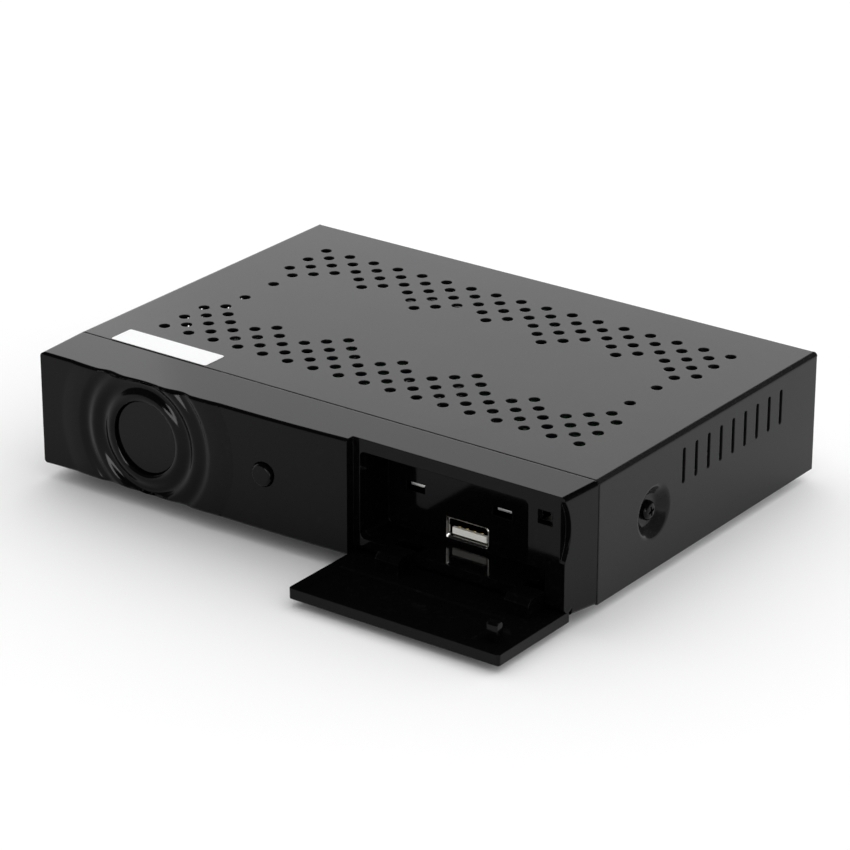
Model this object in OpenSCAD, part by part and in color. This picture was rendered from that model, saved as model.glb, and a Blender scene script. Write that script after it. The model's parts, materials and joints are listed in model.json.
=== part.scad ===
// Small satellite television receiver with a fold-down front flap.
// The origin is on the surface it stands on, in the middle of its footprint with the flap down.
// +X is to the right seen from the front, +Y to the back, +Z up.

/* [Case] */
// Width of the case over the cover's sides
body_w = 175; // [172:1:190]
// Depth of the sheet metal cover, from the bezel's seam to the back
cover_d = 109.2; // [108:0.2:125]
// Height of the case without its feet
body_h = 35.2; // [35:0.1:40]
// Thickness of the sheet metal
sheet_t = 0.8; // [0.6:0.1:1]
// Outer radius of the cover's top bends
bend_r = 1.4; // [1.2:0.1:2.5]
// How far the rear panel stands inside the cover's back edge
rear_inset = 1; // [0.5:0.1:1.5]
// Clearance between the cover and what slides inside it
slip_gap = 0.15; // [0.1:0.05:0.3]

/* [Vents] */
// Half the pitch of the staggered round vents
vent_step = 4.4; // [4.3:0.05:4.6]
// Radius of a round vent
vent_r = 1.6; // [1.4:0.05:1.8]
// Sideways shift of the vent field
vent_shift = -0.5; // [-1:0.1:1]
// Number of slots in each side
slot_count = 9; // [5:1:10]
// Pitch of the side slots
slot_pitch = 6.16; // [5:0.02:6.4]
// Height of a side slot
slot_h = 10.3; // [8:0.1:11]
// Width of a side slot
slot_w = 1.45; // [1.2:0.05:2]
// Distance of the side slots' tops below the case top
slot_drop = 4.8; // [4:0.1:6]
// Distance of the first slot behind the seam
slot_start = 40.8; // [38:0.1:42]

/* [Side screw dimples] */
// Distance of the dimple behind the seam
dimple_y = 26.7; // [22:0.1:28]
// Distance of the dimple below the case top
dimple_drop = 18.35; // [17.5:0.1:19]
// Rim radius of the pressed dimple
dimple_r = 7.4; // [6.5:0.1:8]
// Floor radius of the pressed dimple
dimple_floor_r = 4.4; // [3.8:0.1:4.8]
// Depth of the dimple
dimple_depth = 2.6; // [2:0.1:3]

/* [Front bezel] */
// Depth of the bezel from its face to the seam
bezel_d = 18; // [17:0.1:22]
// Wall of the bezel
bezel_wall = 1.8; // [1.4:0.1:2.2]
// Thickness of the front face
face_t = 2.6; // [2.4:0.1:3]
// How far each side draws in from the seam to the face
side_draft = 1.1; // [0.5:0.1:1.5]
// How far the underside rises from the seam to the face
chin_rise = 1.8; // [1:0.1:2.2]
// Width of the groove between bezel and cover
seam_gap = 0.35; // [0.2:0.05:0.6]
// Length of the lip that slides into the cover
lip_d = 5; // [4:0.1:6]
// Thickness of the lip
lip_t = 1.4; // [1:0.1:1.6]

/* [Ripple rings] */
// Share of the case's width at which the rings' centre lies, from the left
ring_share = 0.2194; // [0.215:0.0001:0.225]
// Radius of the round window's hole
lens_hole_r = 10.8; // [10:0.1:11.2]
// Radius of the first crest
crest_1_r = 12.1; // [11.9:0.1:12.4]
// Radius of the first valley
valley_1_r = 15.2; // [14.6:0.1:15.8]
// Radius of the second crest
crest_2_r = 18; // [17.4:0.1:18.6]
// Radius of the second valley
valley_2_r = 20.9; // [20.4:0.1:21.2]
// Radius of the outer crest
crest_3_r = 23.6; // [23:0.1:24.2]
// Radius of the crease where the outer ring meets the face
ring_edge_r = 30.8; // [29:0.1:31]
// Depth of the valleys
valley_depth = 0.5; // [0.3:0.1:0.8]
// Height of the crests
crest_h = 0.5; // [0.3:0.1:0.8]

/* [Round window] */
// Depth of the window below the face
lens_recess = 0.8; // [0.8:0.1:1.4]
// Thickness of the window's disc
lens_t = 1.6; // [1.4:0.1:2]
// Gap around the window
lens_gap = 0.3; // [0.1:0.05:0.3]
// Width of the flange behind the window
lens_flange = 1.4; // [1:0.1:1.6]

/* [Standby button] */
// Share of the case's width at which the button lies, from the left
button_share = 0.4537; // [0.445:0.0001:0.465]
// Radius of the button's cap
button_r = 3.3; // [2.8:0.1:3.6]
// Gap around the button
button_gap = 0.25; // [0.2:0.05:0.4]
// How far the cap stands out of the face
button_proud = 1.1; // [0.8:0.1:1.6]
// Travel of the button
button_travel = 0.5; // [0.3:0.05:0.6]

/* [Flap] */
// Share of the case's width that the flap's recess takes, from the right
flap_share = 0.3906; // [0.38:0.0001:0.4]
// Distance from the rings' centre at which the face starts to curve back
curve_start = 26.2; // [22:0.1:28]
// How far the face curves back on its way to the recess
curve_sag = 1.4; // [0.8:0.1:1.6]
// Depth of the recess that takes the flap
recess_d = 4.2; // [3.6:0.1:5]
// Thickness of the flap
flap_t = 3.2; // [2.8:0.1:3.4]
// Gap around the closed flap
flap_gap = 0.3; // [0.2:0.05:0.4]
// Gap between the closed flap and the plate behind it
flap_air = 0.2; // [0.2:0.05:0.3]
// Distance of the hinge line behind the plate
hinge_set = 1.8; // [1.8:0.05:2]
// Height of the hinge line over the case's underside
hinge_rise = 4.4; // [4.4:0.1:4.8]
// How far the flap reaches below the hinge line
flap_tail = 1.6; // [1.4:0.05:1.7]
// Distance of the closed flap's top edge below the case top
flap_drop = 0.4; // [0.3:0.05:0.8]
// Width of a hinge lug
lug_w = 7.5; // [6:0.1:7.6]
// Height of a hinge lug above the hinge line, flap closed
lug_h = 8.8; // [8:0.1:9]
// How far a hinge lug reaches behind the hinge line, flap closed
lug_d = 3; // [2.6:0.1:3.2]
// Distance of the left lug's middle from the flap's left edge
lug_in_left = 15.7; // [14.5:0.1:17]
// Distance of the right lug's middle from the flap's right edge
lug_in_right = 9.8; // [9.6:0.1:10.6]
// Radius of the hinge pins
pin_r = 1; // [0.9:0.05:1]
// Running gap around the hinge pins
pin_gap = 0.06; // [0.04:0.01:0.08]
// Length of pin in each bearing
pin_seat = 2; // [1.5:0.1:2.2]

/* [Compartment] */
// Distance of the opening from the flap's left edge
open_in_left = 2.2; // [1.8:0.1:2.6]
// Distance of the opening from the case's right side
open_in_right = 12.3; // [12:0.1:13]
// Distance of the opening below the case top
open_drop = 3.7; // [3.5:0.1:4.5]
// Corner radius of the opening
open_r = 1.6; // [1:0.1:2.2]
// Thickness of the plate around the opening
plate_t = 2.4; // [2:0.1:2.6]
// Height of the sill over the hinge line
sill_h = 2; // [1.8:0.1:2.4]
// Wall of the compartment's liner
liner_t = 1.2; // [1:0.1:1.4]

/* [Flap latch] */
// Distance of the latch from the flap's right edge
latch_in = 6; // [5.6:0.1:7]
// Width of the latch
latch_w = 3.4; // [3:0.1:3.6]
// Height of the latch
latch_h = 2.6; // [2.2:0.1:2.8]
// Length of the latch
latch_l = 5.4; // [5:0.1:6]
// Distance of the latch below the closed flap's top edge
latch_drop = 6.6; // [6:0.1:7.4]
// Play around the latch in its hole
latch_gap = 0.6; // [0.5:0.05:0.8]

/* [Feet] */
// Height of the rubber feet
foot_h = 3; // [2.6:0.1:4]
// Radius of the rubber feet
foot_r = 6; // [5:0.5:7]
// Distance of the feet from the case's edges
foot_in = 15; // [12:0.5:20]

/* [Boards] */
// Height of the main board over the tray
standoff_h = 5.4; // [5:0.1:6]
// Thickness of the main board and the front board
board_t = 1.6; // [1.2:0.1:1.6]
// Distance of the main board from the tray's sides
board_side = 6; // [5:0.5:8]
// Distance of the main board's front edge behind the seam
board_front = 10; // [9.5:0.5:12]
// Distance of the front board behind the bezel's face wall
front_board_set = 7; // [6.8:0.1:8]

/* [Port sizes] */
// Width of the USB socket
usb_w = 13.1; // [12.8:0.1:13.4]
// Height of the USB socket
usb_h = 5.6; // [5.4:0.1:5.8]
// Depth of the USB socket
usb_d = 14; // [13:0.1:15]
// Distance of the USB socket from the flap's left edge
usb_in = 28.5; // [27:0.1:30]
// Thread radius of the aerial sockets
f_r = 4.76; // [4.7:0.01:4.8]
// Length of the aerial sockets beyond the rear panel
f_len = 10; // [9:0.1:11]
// Outer radius of the audio and video sockets
av_r = 4.15; // [4.1:0.05:4.3]
// Length of the audio and video sockets beyond the rear panel
av_len = 8.6; // [8:0.1:9]
// Pitch of the audio and video sockets
av_pitch = 13; // [12:0.1:13.5]
// Radius of the data jack's bore
data_r = 1.8; // [1.75:0.01:1.85]
// Radius of the power inlet's bore
dc_r = 3.1; // [2.9:0.1:3.2]
// Angle of the rear switch's rocker on each side of level
rocker_tilt = 10; // [8:1:12]

/* [Hidden] */
$fn = 64;
// One overrun for every cut
over = 0.6;

// Heights
case_z = foot_h;
top_z = case_z + body_h;
tray_top = case_z + sheet_t;
board_z = tray_top + standoff_h;
deck_z = board_z + board_t;
hinge_z = case_z + hinge_rise;
flap_top = top_z - flap_drop;
sill_z = hinge_z + sill_h;
open_top = top_z - open_drop;
mid_z = case_z + (body_h + chin_rise) / 2;

// Depths: the footprint runs from the open flap's edge to the aerial sockets' ends
case_d = cover_d + bezel_d;
flap_reach = flap_top - hinge_z - hinge_set - recess_d;
rear_reach = f_len - rear_inset;
back_y = (case_d + flap_reach - rear_reach) / 2;
seam_y = back_y - cover_d;
front_y = seam_y - bezel_d;
plate_y = front_y + recess_d;
hinge_y = plate_y + hinge_set;
// The wall that the flap's tail rests against when the flap is down
stop_y = hinge_y + flap_tail;
panel_y = back_y - rear_inset;
wall_y = seam_y;

// Widths
half_w = body_w / 2;
tray_x = half_w - sheet_t - slip_gap;
draft_at_plate = side_draft * (bezel_d - recess_d) / bezel_d;
jog_x = half_w - flap_share * body_w;
button_x = -half_w + button_share * body_w;
plate_x = half_w - draft_at_plate;
flap_x0 = jog_x + flap_gap;
flap_x1 = half_w - side_draft;
open_x0 = jog_x + open_in_left;
open_x1 = half_w - open_in_right;
open_w = open_x1 - open_x0;
lug_x = [flap_x0 + lug_in_left, flap_x1 - lug_in_right];
usb_x = jog_x + usb_in;
usb_z = deck_z + usb_h / 2;

// Box between two corners
module block(a, b) {
    translate(a) cube(b - a);
}

// Round bar along X, Y or Z between two places
module bar_x(x0, x1, y, z, r) {
    translate([x0, y, z]) rotate([0, 90, 0]) cylinder(r = r, h = x1 - x0);
}
module bar_y(y0, y1, x, z, r) {
    translate([x, y0, z]) rotate([-90, 0, 0]) cylinder(r = r, h = y1 - y0);
}
module bar_z(z0, z1, x, y, r) {
    translate([x, y, z0]) cylinder(r = r, h = z1 - z0);
}

// Profile drawn in Y and Z, run along X
module along_x(x0, x1) {
    translate([x0, 0, 0]) rotate([90, 0, 90]) linear_extrude(x1 - x0) children();
}

// Profile drawn in X and Z, run along Y
module along_y(y0, y1) {
    translate([0, y1, 0]) rotate([90, 0, 0]) linear_extrude(y1 - y0) children();
}

// Square with round corners, drawn between two corners
module round_square(a, b, r) {
    translate([a[0] + r, a[1]]) square([b[0] - a[0] - 2 * r, b[1] - a[1]]);
    translate([a[0], a[1] + r]) square([b[0] - a[0], b[1] - a[1] - 2 * r]);
    for (x = [a[0] + r, b[0] - r], y = [a[1] + r, b[1] - r]) translate([x, y]) circle(r);
}

// Copy to both sides of the middle plane
module both_sides() {
    children();
    mirror([1, 0, 0]) children();
}

// Cover
slot_top = top_z - slot_drop;
slot_y0 = seam_y + slot_start;
dimple_cy = seam_y + dimple_y;
dimple_z = top_z - dimple_drop;
tab_w = 14;
tab_h = 8;
tab_in = 26;
vent_rows = 18;
vent_cols = 32;
vent_band = 4;
vent_y0 = (seam_y + back_y) / 2 - vent_step * (vent_rows - 1) / 2;
vent_x0 = vent_shift - vent_step * vent_cols / 2;
// Column steps that stay open in the two thinned rows next to the full bands
near_cols = [0, 2, 6, 10, 12, 16, 20, 22, 26, 30, 32];
far_cols = [1, 11, 21, 31];

// Columns of one row, counted from the front: full bands, thinned rows, then the two middle pairs
function mirror_row(row) = min(row, vent_rows - 1 - row);
function full_row(row) = [for (col = [row % 2:2:vent_cols]) col];
function row_cols(row) = mirror_row(row) < vent_band ? full_row(mirror_row(row))
    : mirror_row(row) == vent_band ? near_cols
    : mirror_row(row) == vent_band + 1 ? far_cols
    : mirror_row(row) == vent_band + 3 ? [1, vent_cols - 1] : [];

module cover_profile(grow) {
    r = bend_r - grow;
    x = half_w - grow;
    z = top_z - grow;
    translate([-x, case_z - over * grow]) square([2 * x, z - r - case_z + over * grow]);
    translate([-x + r, case_z]) square([2 * (x - r), z - case_z]);
    for (s = [-1, 1]) translate([s * (x - r), z - r]) circle(r);
}

// Pressed dimple: a conical skin with a flat floor, drawn for the right side
module dimple_skin(depth) {
    lean = sheet_t * (dimple_r - dimple_floor_r) / dimple_depth;
    translate([half_w, dimple_cy, dimple_z]) rotate([0, -90, 0]) rotate_extrude() polygon([
        [0, dimple_depth], [dimple_floor_r, dimple_depth], [dimple_r, 0],
        [dimple_r + lean, 0], [dimple_r + lean, sheet_t], [dimple_r, sheet_t],
        [dimple_floor_r, dimple_depth + sheet_t], [0, dimple_depth + sheet_t]]);
}

module top_cover() {
    color([0.08, 0.08, 0.085]) difference() {
        union() {
            difference() {
                along_y(seam_y + seam_gap, back_y) difference() {
                    cover_profile(0);
                    cover_profile(sheet_t);
                }
                for (row = [0:vent_rows - 1], col = row_cols(row))
                    bar_z(top_z - sheet_t - over, top_z + over, vent_x0 + col * vent_step,
                        vent_y0 + row * vent_step, vent_r);
                both_sides() for (i = [0:slot_count - 1]) side_slot(slot_y0 + i * slot_pitch);
                both_sides() bar_x(half_w - sheet_t - over, half_w + over, dimple_cy, dimple_z, dimple_r);
            }
            both_sides() dimple_skin();
            for (s = [-1, 1]) rear_tab(s * tab_x);
        }
        both_sides() bar_x(half_w - dimple_depth - sheet_t - over, half_w, dimple_cy, dimple_z, screw_r);
        for (s = [-1, 1]) bar_y(panel_y - 2 * sheet_t - over, panel_y, s * tab_x, tab_z, screw_r);
    }
}

module side_slot(y) {
    r = slot_w / 2;
    block([half_w - sheet_t - over, y - r, slot_top - slot_h + r], [half_w + over, y + r, slot_top - r]);
    bar_x(half_w - sheet_t - over, half_w + over, y, slot_top - r, r);
    bar_x(half_w - sheet_t - over, half_w + over, y, slot_top - slot_h + r, r);
}

// Tab bent down from the cover behind the rear panel
tab_x = half_w - tab_in;
tab_z = top_z - sheet_t - tab_h / 2;
module rear_tab(x) {
    block([x - tab_w / 2, panel_y - 2 * sheet_t, top_z - sheet_t - tab_h],
        [x + tab_w / 2, panel_y - sheet_t, top_z - sheet_t / 2]);
}

// Screws with a cross recess
screw_r = 1.5;
head_r = 2.75;
head_h = 1.7;
drive_w = 0.9;
drive_l = 3.4;
drive_d = 1;
screw_l = 6;
small_screw_share = 0.7;

// Drawn pointing down, with the head's seat at zero
module screw(length) {
    difference() {
        union() {
            cylinder(r = head_r, h = head_h);
            translate([0, 0, -length]) cylinder(r = screw_r, h = length + head_h / 2);
        }
        for (turn = [0, 90]) rotate([0, 0, turn])
            translate([-drive_l / 2, -drive_w / 2, head_h - drive_d]) cube([drive_l, drive_w, drive_d + over]);
    }
}

module side_screws() {
    color("silver") both_sides() translate([half_w - dimple_depth, dimple_cy, dimple_z])
        rotate([0, 90, 0]) screw(screw_l);
}

module rear_screws() {
    color("silver") for (s = [-1, 1]) translate([s * tab_x, panel_y, tab_z])
        rotate([-90, 0, 0]) screw(screw_l);
}

// Chassis tray with its rear panel
flange_h = 8;
join_w = 22;
join_h = 22;
join_top = dimple_z + dimple_floor_r;
lip_end = seam_y + lip_d;
flange_y0 = lip_end + slip_gap;
join_x = half_w - dimple_depth - sheet_t;
base_screw_share = 0.72;
base_screw_x = half_w * base_screw_share;
base_screw_y = seam_y + lip_d / 2;
floor_slot_w = 3;
floor_slot_l = 26;
floor_slot_pitch = 9;
floor_slot_count = 7;

module joggled_tab() {
    along_y(dimple_cy - join_w / 2, dimple_cy + join_w / 2) polygon([
        [tray_x, case_z], [tray_x, case_z + flange_h / 2], [join_x, case_z + flange_h],
        [join_x, join_top], [join_x - sheet_t, join_top], [join_x - sheet_t, case_z + flange_h],
        [tray_x - sheet_t, case_z + flange_h / 2], [tray_x - sheet_t, case_z]]);
}

module chassis_tray() {
    color([0.62, 0.63, 0.64]) difference() {
        union() {
            block([-tray_x, seam_y + seam_gap, case_z], [tray_x, panel_y - sheet_t, tray_top]);
            both_sides() difference() {
                block([tray_x - sheet_t, flange_y0, case_z], [tray_x, panel_y - sheet_t, case_z + flange_h]);
                block([tray_x - sheet_t - over, dimple_cy - join_w / 2, tray_top],
                    [tray_x + over, dimple_cy + join_w / 2, case_z + flange_h + over]);
            }
            both_sides() joggled_tab();
        }
        both_sides() bar_x(join_x - sheet_t - over, join_x + over, dimple_cy, dimple_z, screw_r);
        for (s = [-1, 1]) bar_z(case_z - over, tray_top + over, s * base_screw_x, base_screw_y, screw_r);
        for (x = foot_xs, y = foot_ys) bar_z(case_z - over, tray_top + over, x, y, foot_stem_r);
        for (i = [0:floor_slot_count - 1]) floor_slot((i - (floor_slot_count - 1) / 2) * floor_slot_pitch);
    }
}

// Rear panel with its foot flange spot-welded to the tray
panel_flange = 7;
module rear_panel() {
    color([0.62, 0.63, 0.64]) difference() {
        union() {
            block([-tray_x, panel_y - sheet_t, case_z], [tray_x, panel_y, top_z - sheet_t - slip_gap]);
            block([-tray_x + sheet_t + slip_gap, panel_y - panel_flange, tray_top],
                [tray_x - sheet_t - slip_gap, panel_y - sheet_t / 2, tray_top + sheet_t]);
        }
        for (s = [-1, 1]) bar_y(panel_y - sheet_t - over, panel_y + over, s * tab_x, tab_z, screw_r);
        panel_holes();
    }
}

module floor_slot(x) {
    y0 = (seam_y + back_y - floor_slot_l) / 2;
    block([x - floor_slot_w / 2, y0, case_z - over], [x + floor_slot_w / 2, y0 + floor_slot_l, tray_top + over]);
    for (y = [y0, y0 + floor_slot_l]) bar_z(case_z - over, tray_top + over, x, y, floor_slot_w / 2);
}

// Feet: a round pad with a stem through the tray
foot_stem_r = 2;
foot_stem_h = 1.6;
foot_xs = [-half_w + foot_in, half_w - foot_in];
foot_ys = [seam_y + foot_in, back_y - foot_in];
foot_dish_share = 0.4;
foot_dish_r = foot_r * foot_dish_share;
foot_dish_h = foot_h * foot_dish_share;
module rubber_feet() {
    color([0.05, 0.05, 0.05]) for (x = foot_xs, y = foot_ys) difference() {
        union() {
            bar_z(0, foot_h, x, y, foot_r);
            bar_z(0, foot_h + sheet_t + foot_stem_h, x, y, foot_stem_r);
        }
        bar_z(-over, foot_dish_h, x, y, foot_dish_r);
    }
}

// Bezel outlines, which may be run on ahead of the face
ring_x = -half_w + ring_share * body_w;
ring_z = mid_z;
curve_x = ring_x + curve_start;
curve_w = jog_x - curve_x;
curve_r = (pow(curve_w, 2) + pow(curve_sag, 2)) / (2 * curve_sag);
draft_turn = atan(side_draft / bezel_d);
module bezel_plan(ahead) {
    depth = bezel_d + ahead;
    translate([-half_w, seam_y - depth]) square([half_w + curve_x, depth]);
    translate([jog_x, seam_y - depth]) square([half_w - jog_x, depth]);
    intersection() {
        translate([curve_x, seam_y - depth]) square([jog_x - curve_x, depth]);
        translate([curve_x, front_y + curve_r]) circle(curve_r + ahead, $fn = 2000);
    }
}
module bezel_side(ahead) {
    rise = chin_rise * (bezel_d + ahead) / bezel_d;
    polygon([[seam_y, case_z], [seam_y, top_z], [front_y - ahead, top_z], [front_y - ahead, case_z + rise]]);
}
// One side wall's outline, leaning in towards the face
module bezel_corner() {
    translate([half_w, seam_y, 0]) rotate([0, 0, -draft_turn]) along_y(-2 * bezel_d, bezel_d) {
        translate([-2 * body_w, case_z]) square([2 * body_w, body_h - bend_r]);
        translate([-2 * body_w, case_z]) square([2 * body_w - bend_r, body_h]);
        translate([-bend_r, top_z - bend_r]) circle(bend_r);
    }
}
module bezel_outline(ahead) {
    intersection() {
        translate([0, 0, case_z]) linear_extrude(body_h) bezel_plan(ahead);
        along_x(-half_w, half_w) bezel_side(ahead);
        bezel_corner();
        mirror([1, 0, 0]) bezel_corner();
    }
}

ring_bed_t = 0.4;
// Radius and height of the ripples, outwards from the window, on a bed sunk in the face
ring_bed = valley_depth + ring_bed_t;
wave_steps = 4;
function wave(a, b) = [for (i = [1:wave_steps])
    [a[0] + (b[0] - a[0]) * i / wave_steps, a[1] + (b[1] - a[1]) * (1 - cos(180 * i / wave_steps)) / 2]];
function fall(a, b) = [for (i = [1:wave_steps])
    [a[0] + (b[0] - a[0]) * i / wave_steps, b[1] + (a[1] - b[1]) * cos(90 * i / wave_steps)]];
ripple_turns = [[lens_hole_r - over, 0], [crest_1_r, crest_h], [valley_1_r, -valley_depth], [crest_2_r, crest_h],
    [valley_2_r, -valley_depth / 2], [crest_3_r, crest_h]];
ripple_points = concat([[lens_hole_r - over, -ring_bed - ring_bed_t], ripple_turns[0]],
    [for (i = [1:len(ripple_turns) - 1]) each wave(ripple_turns[i - 1], ripple_turns[i])],
    fall(ripple_turns[len(ripple_turns) - 1], [ring_edge_r, 0]), [[ring_edge_r, -ring_bed - ring_bed_t]]);

module ripples() {
    translate([ring_x, front_y, ring_z]) rotate([90, 0, 0]) rotate_extrude($fn = 128) polygon(ripple_points);
}

inner_x = half_w - side_draft - bezel_wall;
floor_rise = chin_rise * (bezel_d - face_t) / bezel_d;

// Hollow behind the face, left of the recess, and behind the plate
module bezel_hollow(x0, x1, y0) {
    along_x(x0, x1) polygon([[y0, case_z + chin_rise * (seam_y - y0) / bezel_d + bezel_wall],
        [y0, top_z - bezel_wall], [seam_y + over, top_z - bezel_wall], [seam_y + over, case_z + bezel_wall]]);
}

scoop_h = 17.4;
scoop_in = 2.5;
scoop_w = 1.3;
scoop_drop = 9.8;
scoop_z = top_z - scoop_drop;
scoop_r = (pow(scoop_h / 2, 2) + pow(scoop_in, 2)) / (2 * scoop_in);
boss_r = 3.2;
boss_h = 4;
post_r = 2.6;
post_hole_r = screw_r * small_screw_share;
post_in = 8.5;
post_off = 11.4;
post_drop = 7;
post_xs = [-half_w + post_in, button_x - post_off, jog_x - post_in];
post_zs = [top_z - post_drop, case_z + post_in, top_z - post_drop];
front_board_y = front_y + face_t + front_board_set;

module front_bezel() {
    color([0.05, 0.05, 0.055]) difference() {
        union() {
            difference() {
                bezel_outline(0);
                bezel_hollow(-inner_x, jog_x - bezel_wall, front_y + face_t);
                bezel_hollow(jog_x - bezel_wall - over, inner_x, plate_y + plate_t);
                // the recess that takes the flap
                block([jog_x, front_y - over, case_z - over], [half_w + over, plate_y, top_z + over]);
                // under the hinge line the flap swings past the nose of the sill
                block([jog_x, front_y - over, case_z - over], [half_w + over, stop_y, hinge_z]);
                bar_y(front_y - over - crest_h, front_y + ring_bed, ring_x, ring_z, ring_edge_r);
                // opening into the compartment
                along_y(plate_y - over, plate_y + plate_t + over)
                    round_square([open_x0, sill_z], [open_x1, open_top], open_r);
            }
            intersection() {
                ripples();
                bezel_outline(crest_h);
            }
            hinge_sill();
            bezel_lip();
            for (i = [0:len(post_xs) - 1]) bar_y(front_y + face_t, front_board_y, post_xs[i], post_zs[i], post_r);
            for (s = [-1, 1]) bar_z(tray_top, tray_top + boss_h, s * base_screw_x, base_screw_y, boss_r);
        }
        for (i = [0:1]) hinge_slot(lug_x[i]);
        for (i = [0:len(post_xs) - 1])
            bar_y(front_board_y - screw_l, front_board_y + over, post_xs[i], post_zs[i], post_hole_r);
        for (s = [-1, 1]) bar_z(tray_top - over, tray_top + boss_h - over, s * base_screw_x, base_screw_y, post_hole_r);
        bar_y(front_y - over, front_y + face_t + over, button_x, mid_z, button_r + button_gap);
        bar_y(front_y - over - crest_h, front_y + face_t + over, ring_x, ring_z, lens_hole_r);
        // catch hole for the latch
        block([latch_x - latch_w / 2 - latch_gap, plate_y - over, latch_z - latch_h / 2 - latch_gap],
            [latch_x + latch_w / 2 + latch_gap, plate_y + plate_t + over, latch_z + latch_h / 2 + latch_gap]);
        // thumb scoop in the right wall's front edge
        bar_x(half_w - side_draft - scoop_w, half_w + over, plate_y + scoop_in - scoop_r, scoop_z, scoop_r);
    }
}

// Sill between the plate and the underside, with a round nose on the hinge line
module hinge_sill() {
    back = stop_y + bezel_wall;
    intersection() {
        along_x(jog_x, half_w) union() {
            polygon([[plate_y, hinge_z], [plate_y, sill_z], [back, sill_z], [back, case_z],
                [stop_y, case_z], [stop_y, hinge_z]]);
            translate([hinge_y, hinge_z]) circle(hinge_set);
        }
        bezel_outline(0);
    }
}

// Height that the lugs reach while they turn
lug_top = hinge_z + sqrt(pow(lug_h, 2) + pow(hinge_set + flap_air, 2)) + flap_gap;
module hinge_slot(x) {
    w = lug_w / 2 + flap_gap;
    block([x - w, plate_y - over, hinge_z - hinge_set - flap_gap], [x + w, hinge_y + lug_d + 2 * flap_gap + over, lug_top]);
    bar_x(x - w - pin_seat - pin_gap, x + w + pin_seat + pin_gap, hinge_y, hinge_z, pin_r + pin_gap);
}

// Lip that slides into the cover and rests on the tray's floor
module bezel_lip() {
    x = half_w - sheet_t - slip_gap;
    z = top_z - sheet_t - slip_gap;
    r = bend_r - sheet_t;
    root = bezel_wall;
    difference() {
        along_y(seam_y - root, lip_end) lip_profile(x, tray_top, z, r);
        along_y(seam_y - root - over, lip_end + over)
            lip_profile(x - lip_t, tray_top + lip_t, z - lip_t, r);
    }
}
module lip_profile(x, z0, z1, r) {
    translate([-x, z0]) square([2 * x, z1 - r - z0]);
    translate([-x + r, z0]) square([2 * (x - r), z1 - z0]);
    for (s = [-1, 1]) translate([s * (x - r), z1 - r]) circle(r);
}

// Round window: a disc in the bezel's hole with a flange behind the face
module lens_window() {
    front = front_y + lens_recess;
    color([0.03, 0.03, 0.035]) {
        bar_y(front, front_y + face_t, ring_x, ring_z, lens_hole_r - lens_gap);
        bar_y(front_y + face_t, front_y + face_t + lens_t, ring_x, ring_z, lens_hole_r + lens_flange);
    }
}

// Standby button: crowned cap, retaining flange and stem
cap_edge = 0.4;
button_flange = 0.9;
stem_r = 1.5;
plunger_l = 1.5;
plunger_r = 1.7;
switch_w = 6;
switch_d = 3.5;
switch_front = front_board_y - switch_d;
stem_end = switch_front - plunger_l;
module standby_button() {
    flange_y = front_y + face_t;
    cap_l = face_t + button_proud;
    color([0.06, 0.06, 0.065]) translate([button_x, flange_y, mid_z]) rotate([90, 0, 0]) rotate_extrude() polygon([
        [0, cap_l], [button_r - 2 * cap_edge, cap_l], [button_r, cap_l - cap_edge], [button_r, 0],
        [button_r + button_flange, 0], [button_r + button_flange, -button_flange],
        [stem_r, -button_flange], [stem_r, flange_y - stem_end], [0, flange_y - stem_end]]);
}

module tact_switch() {
    color([0.12, 0.12, 0.12]) difference() {
        block([button_x - switch_w / 2, switch_front, mid_z - switch_w / 2],
            [button_x + switch_w / 2, front_board_y, mid_z + switch_w / 2]);
        bar_y(switch_front - over, switch_front + 2 * button_travel + over, button_x, mid_z, plunger_r + button_gap);
    }
}

module tact_plunger() {
    color([0.75, 0.73, 0.7]) bar_y(stem_end, switch_front + button_travel, button_x, mid_z, plunger_r);
}

// Flap, drawn closed and turned down about the hinge line
module flap_down() {
    translate([0, hinge_y, hinge_z]) rotate([90, 0, 0]) translate([0, -hinge_y, -hinge_z]) children();
}
flap_in_y = plate_y - flap_air;
flap_out_y = flap_in_y - flap_t;
flap_edge = 0.8;
module flap_panel() {
    color([0.05, 0.05, 0.055]) flap_down() difference() {
        along_y(flap_out_y, flap_in_y)
            round_square([flap_x0, hinge_z - flap_tail], [flap_x1, flap_top], flap_edge);
        // sunk field on the inner side
        block([flap_x0 + 4 * flap_edge, flap_in_y - flap_edge / 2, hinge_z + lug_h + flap_t],
            [latch_x - 3 * latch_gap - latch_w, flap_in_y + over, flap_top - 4 * flap_edge]);
    }
}

module flap_lugs() {
    color([0.06, 0.06, 0.065]) flap_down() for (x = lug_x) difference() {
        along_x(x - lug_w / 2, x + lug_w / 2) union() {
            circle_r = hinge_set - flap_air / 4;
            translate([hinge_y, hinge_z]) circle(circle_r);
            polygon([[flap_in_y, hinge_z - circle_r / 2], [flap_in_y, hinge_z + lug_h],
                [hinge_y + lug_d / 2, hinge_z + lug_h], [hinge_y + lug_d, hinge_z + lug_h - lug_d / 2],
                [hinge_y + lug_d, hinge_z + lug_d / 2], [hinge_y + circle_r, hinge_z],
                [hinge_y, hinge_z - circle_r / 2]]);
        }
        bar_x(x - lug_w, x + lug_w, hinge_y, hinge_z, pin_r);
    }
}

module flap_pins() {
    color("silver") for (x = lug_x)
        bar_x(x - lug_w / 2 - flap_gap - pin_seat, x + lug_w / 2 + flap_gap + pin_seat, hinge_y, hinge_z, pin_r);
}

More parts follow.
